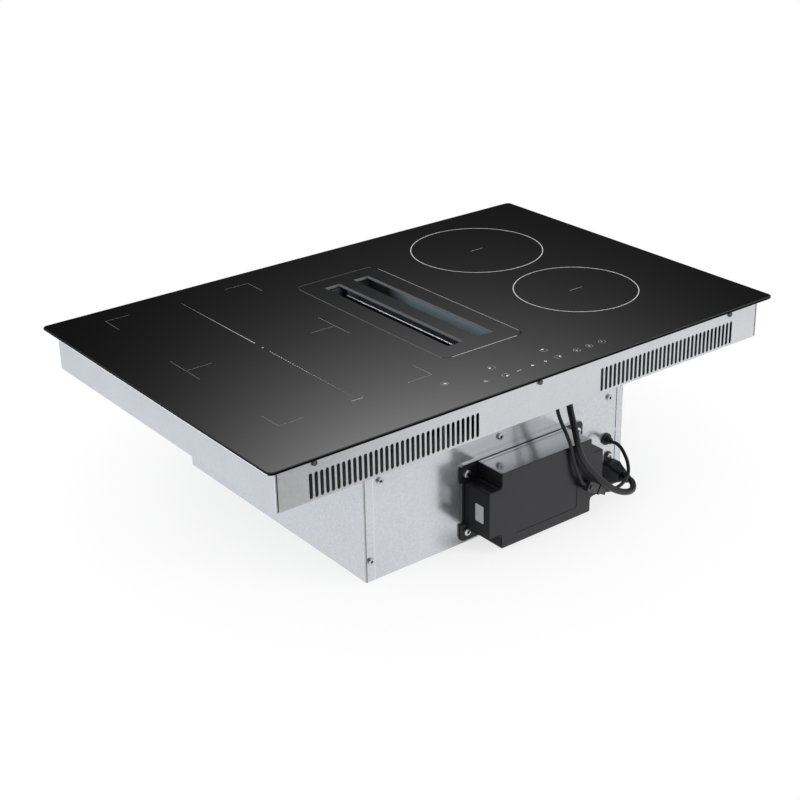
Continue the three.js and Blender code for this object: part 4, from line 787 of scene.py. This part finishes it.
# a corner is its place and its two reaches; a side is x, its ends, and its arm's y and reach
zone = {
    "line": 1.0,
    "gap": 0.01,
    "corners": [(-319.5, 223.6, 33.5, -36.6), (-107.8, 222, -35.2, -35), (-107, -172, -35, 35),
                (-320, -171.6, 33, 33.6)],
    "sides": [(-321, -9.6, 58.3, 22, 35), (-106, -8, 60, 23, -36)],
    "color": (0.085, 0.085, 0.085),
}


def addZone():
    marks = []
    half = zone["line"] / 2
    clear = half + zone["gap"]
    for x, y, reachX, reachY in zone["corners"]:
        marks.append(flatBar(x - math.copysign(half, reachX), x + reachX, y - half, y + half))
        marks.append(flatBar(x - half, x + half, y + math.copysign(clear, reachY), y + reachY))
    for x, y1, y2, armY, reach in zone["sides"]:
        marks.append(flatBar(x - half, x + half, y1, y2))
        marks.append(flatBar(x + math.copysign(clear, reach), x + reach, armY - half, armY + half))
    inked(marks, "leftZoneMarks", inkFinish("faintInk", zone["color"]))


slider = {
    "x": -213.5,
    "line": 0.9,
    "back": (40.3, 215.5),
    "dash": 2.4,
    "step": 4.8,
    "dashes": 36,
    "first": 7.0,
    "color": (0.8, 0.8, 0.8),
    "fade": {"level": 0.09, "middle": 22.5, "reach": 170},
    "dot": {"y": 22.5, "radius": 1.4, "sides": 24},
    "end": {"x": (-222, -206.5), "y": (-171.9, -171.1)},
    "endColor": (0.45, 0.45, 0.45),
}


def addSlider():
    x, half = slider["x"], slider["line"] / 2
    dashes = flatBar(x - half, x + half, slider["first"] - slider["dash"], slider["first"])
    modified(dashes, "ARRAY", count=slider["dashes"], use_relative_offset=False, use_constant_offset=True,
             constant_offset_displace=(0, -slider["step"] * mm, 0))
    line = flatBar(x - half, x + half, *slider["back"])
    inked([dashes, line], "leftZoneSlider", inkFinish("fadingInk", slider["color"], slider["fade"]))
    dot, end = slider["dot"], slider["end"]
    ends = [flatBar(*end["x"], *end["y"]), flatRound(x, dot["y"], dot["radius"], dot["sides"])]
    inked(ends, "sliderEnds", inkFinish("sliderInk", slider["endColor"]))


# a bar is its middle, width and depth
keys = {
    "ring": {"radius": 4.3, "line": 0.5, "sides": 36, "color": (0.3, 0.3, 0.3)},
    "rings": [(-112.3, -201.4), (-40.8, -201), (-42.6, -228), (40.2, -202.7), (40, -228), (70.5, -228.3),
              (91.4, -227.9), (112.3, -228.1)],
    "dot": {"radius": 1.36, "sides": 16},
    "dots": [(-111.2, -201.9), (-43.9, -201.2), (-42.4, -230.6), (40.4, -200), (42.8, -228)],
    "bars": [(-113.4, -201.6, 2.6, 0.6), (-22, -228.6, 6.6, 0.6), (19.4, -228.4, 4.8, 0.7),
             (19.4, -228.4, 0.7, 4.8), (70.5, -228.3, 3.4, 0.6), (70.5, -228.3, 0.6, 3.4),
             (91.4, -227, 3.2, 0.6), (91.4, -229, 3.2, 0.6), (112.3, -227, 0.6, 3),
             (-71.8, -224.6, 2.4, 0.5), (-71.8, -226.3, 4, 0.5), (-71.8, -228, 5.6, 0.5)],
    "wedge": (-0.1, -227.4, 2.41),
    "color": (0.95, 0.95, 0.95),
}


def addKeys():
    ring, dot = keys["ring"], keys["dot"]
    rings = [flatRound(x, y, ring["radius"], ring["sides"], ring["line"]) for x, y in keys["rings"]]
    inked(rings, "keyRings", inkFinish("keyInk", ring["color"]))
    marks = [flatRound(x, y, dot["radius"], dot["sides"]) for x, y in keys["dots"]]
    marks += [flatBar(x - w / 2, x + w / 2, y - d / 2, y + d / 2) for x, y, w, d in keys["bars"]]
    marks.append(flatRound(*keys["wedge"], sides=3))
    inked(marks, "keyGlyphs", inkFinish("glyphInk", keys["color"]))


addCircles()
addZone()
addSlider()
addKeys()
print("zone and control marks printed")

# screw heads seen on the front, over the plain heads of the solids, in millimetres
screwShape = {
    "sides": 28,
    "insets": [(0.24, 0.13), (0.33, 0.04), (0.04, -0.15)],  # width and rise, as shares of the radius
    "recessShade": (0.44, 0.8),  # shares of the radius and height that its painted shade keeps to
    "smooth": 35,
}
# the second of each pair is painted shade for the recess
screwFinishes = {
    "steel": (screwMetalFinish("screwSteel", (0.6, 0.61, 0.63), (0.2, 0.3)),
              screwMetalFinish("screwRecessShade", (0.04, 0.04, 0.045), (0.4, 0.5))),
    "zinc": (screwMetalFinish("earScrewZinc", (0.78, 0.79, 0.8), (0.3, 0.4)),
             screwMetalFinish("earScrewRecessShade", (0.05, 0.05, 0.055), (0.35, 0.5))),
}
screwHeads = {
    "plate": {"radius": 4.1, "tall": 2.4, "face": -198.4, "finish": "steel",
              "places": [(-206, 127.5), (-222, 27.5), (-25, 126.5), (158, 123.5), (130, 8)]},
    "ear": {"radius": 4.8, "tall": 2.75, "face": -201.4, "finish": "zinc",
            "places": [(-79.5, 95.5), (-79.5, 16.5), (100.5, 95.5), (100.5, 16.5)]},
    "lug": {"radius": 3.5, "tall": 2.0, "face": -200.4, "finish": "zinc", "places": [(160, 40.8)]},
}


def screwHead(radius, tall):  # seated at the origin and facing the front
    bpy.ops.mesh.primitive_cylinder_add(vertices=screwShape["sides"], radius=radius, depth=tall,
                                        rotation=(math.pi / 2, 0, 0), location=(0, -tall / 2, 0))
    made = bpy.context.object
    applied()
    picked(made, lambda face: face.normal.y < -0.9)
    for width, rise in screwShape["insets"]:
        bpy.ops.mesh.inset(thickness=radius * width, depth=radius * rise)
    bpy.ops.object.mode_set(mode="OBJECT")
    bpy.ops.object.shade_smooth_by_angle(angle=math.radians(screwShape["smooth"]))
    return made


def addScrewHeads(name, kind):
    radius, tall, front = kind["radius"] * mm, kind["tall"] * mm, kind["face"] * mm
    metal, recessShade = screwFinishes[kind["finish"]]
    recessReach, recessHeight = screwShape["recessShade"]
    first = screwHead(radius, tall)
    for number, (x, z) in enumerate(kind["places"], 1):
        copy = bpy.data.objects.new(name, first.data.copy())
        bpy.context.scene.collection.objects.link(copy)
        copy.location = (x * mm, front, z * mm)
        settled(copy, name + "ScrewHead" + str(number), metal)
        # painted shade: the recess gets a near-black finish
        copy.data.materials.append(recessShade)
        for face in copy.data.polygons:
            out = math.hypot(face.center.x - x * mm, face.center.z - z * mm)
            inside = out < radius * recessReach and face.center.y < front - tall * recessHeight
            face.material_index = 1 if inside else 0
    bpy.data.objects.remove(first)


for name, kind in screwHeads.items():
    addScrewHeads(name, kind)
print("screw heads made")

# bare label on the control box's left end, in millimetres
label = {
    "wall": -82.7,
    "clear": 0.02,
    "y": (-236.6, -221.8),
    "z": (42.4, 65.4),
    "thick": 0.2,
    "corner": 1.2,
    "segments": 3,
}


def addLabel():
    (y1, y2), (z1, z2) = label["y"], label["z"]
    place = ((label["wall"] - label["clear"]) * mm, (y1 + y2) / 2 * mm, (z1 + z2) / 2 * mm)
    bpy.ops.mesh.primitive_plane_add(size=1, location=place, rotation=(0, -math.pi / 2, 0))
    sheet = bpy.context.object
    sheet.scale = ((z2 - z1) * mm, (y2 - y1) * mm, 1)
    applied()
    bpy.ops.object.mode_set(mode="EDIT")
    bpy.ops.mesh.select_all(action="SELECT")
    bpy.ops.mesh.bevel(offset=label["corner"] * mm, segments=label["segments"], affect="VERTICES")
    bpy.ops.object.mode_set(mode="OBJECT")
    modified(sheet, "SOLIDIFY", thickness=label["thick"] * mm, offset=1.0)
    settled(sheet, "bareLabel", labelFinish())


addLabel()
print("label placed")

# surroundings, floor and lamps, in metres, degrees and watts
studio = {
    "ambient": 0.62,  # for matt surfaces
    "stray": 0.012,  # what mirrors see between the softboxes
    "below": 0.9,  # and under the horizon
    "softboxes": [
        {"level": 8.4, "azimuth": 39.86, "spread": 9.25, "height": 34.94, "rise": 7.06},
        {"level": 1.4, "azimuth": 142, "spread": 34, "height": 24, "rise": 24},
    ],
}


def addSurroundings():
    world = bpy.data.worlds.new("studio")
    bpy.context.scene.world = world
    world.use_nodes = True
    made = Shading(world.node_tree)
    made.tree.nodes.clear()
    x, y, z = made.parts(made.node("ShaderNodeTexCoord", out="Generated"))  # the way a ray looks
    degrees = 180 / math.pi
    azimuth = made.maths("ARCTAN2", x, y) * degrees
    height = made.maths("ARCSINE", z) * degrees
    glow = studio["stray"]
    for box in studio["softboxes"]:
        across = made.maths("WRAP", azimuth - box["azimuth"], 180.0, -180.0) * (1 / box["spread"])
        up = (height - box["height"]) * (1 / box["rise"])
        glow = made.maths("EXPONENT", (across * across + up * up) * -1.0) * box["level"] + glow
    glow = glow + (z < 0.0) * studio["below"]
    mirrored, seen = made.rays("Is Glossy Ray", "Is Camera Ray")
    level = mirrored * glow + (1 - mirrored) * (seen + (1 - seen) * studio["ambient"])
    back = made.node("ShaderNodeBackground", sockets={"Color": (1, 1, 1), "Strength": level})
    made.node("ShaderNodeOutputWorld", sockets={"Surface": back})


# the floor is white to the camera away from the object, and two patches of painted shade show in the sheet
# metal only
floorLook = {
    "radius": 14,
    "sides": 64,
    "height": -0.0006,
    "color": (0.9, 0.9, 0.9),
    "cloudScale": 3.0,
    "white": {"from": 0.2, "slope": 1.1, "least": 0.7},
    "panShadePatch": {"x": -0.17, "slopeX": 3.7, "y": -0.4, "slopeY": 12.0},  # painted shade mirrored in the pan's front, left of x and in front of y
    "boxShadePatch": {"place": (-0.08, -0.205), "reach": 0.036, "depth": 0.9},  # painted shade below the control box, mirrored in the housing's front
    "mirroredShadeTint": (0.3, 0.3, 0.29),
    "coolFrom": (-0.15, 6.0),  # behind this y, and how fast
    "coolTint": (0.97, 1.0, 1.05),
}


def addFloor():
    bpy.ops.mesh.primitive_circle_add(vertices=floorLook["sides"], radius=floorLook["radius"],
                                      fill_type="NGON", location=(0, 0, floorLook["height"]))
    floor = bpy.context.object
    floor.name = "studioFloor"
    made = Finish("paleFloor", rough=0.9, specular=0.0)
    where = made.place()
    x, y = made.parts(where)[:2]
    clouds = made.noise(where, floorLook["cloudScale"])
    made.set(color=made.mix(floorLook["color"], shaded(floorLook["color"], 0.99), clouds))
    seen, mirrored, through = made.rays("Is Camera Ray", "Is Glossy Ray", "Is Transmission Ray")

    # painted shade that only mirrors see
    patch = floorLook["panShadePatch"]
    inLeft = 1 - ((x - patch["x"]) * patch["slopeX"]).held()
    mirroredShade = inLeft * ((patch["y"] - y) * patch["slopeY"]).held()
    patch = floorLook["boxShadePatch"]
    aside, ahead = x - patch["place"][0], y - patch["place"][1]
    away = (aside * aside + ahead * ahead) ** 0.5
    mirroredShade = mirroredShade + (1 - away * (1 / patch["reach"])).held() * patch["depth"]

    white = floorLook["white"]
    reach = (x * x + y * y) ** 0.5
    toCamera = ((reach - white["from"]) * white["slope"] + white["least"]).held()
    share = seen * toCamera + mirrored + through
    coolFrom, coolSlope = floorLook["coolFrom"]
    cool = mirrored * ((y - coolFrom) * coolSlope).held()
    tint = made.mix((1, 1, 1), floorLook["mirroredShadeTint"], mirroredShade.held() * mirrored)
    tint = made.mix(tint, floorLook["coolTint"], cool)
    glow = made.node("ShaderNodeEmission", sockets={"Color": tint, "Strength": 1.0})
    made.covered(share.held(), glow)
    floor.data.materials.append(made.material)


lamps = {
    "leftLamp": {"place": (-2.6, -0.2, 1.3), "aim": (-0.3, 0, 0.1), "size": 1.4, "power": 34},
    "keyLamp": {"place": (1.5, -2.0, 0.9), "aim": (0.1, -0.2, 0.1), "size": 0.9, "power": 40},
}


def addLamp(name, lamp):
    made = bpy.data.lights.new(name, "AREA")
    made.size = lamp["size"]
    made.energy = lamp["power"]
    holder = bpy.data.objects.new(name, made)
    bpy.context.scene.collection.objects.link(holder)
    holder.location = lamp["place"]
    holder.visible_glossy = False
    aim = Vector(lamp["aim"]) - Vector(lamp["place"])
    holder.rotation_euler = aim.to_track_quat("-Z", "Y").to_euler()


addSurroundings()
addFloor()
for name, lamp in lamps.items():
    addLamp(name, lamp)
print("stage lit")

bpy.context.view_layer.update()
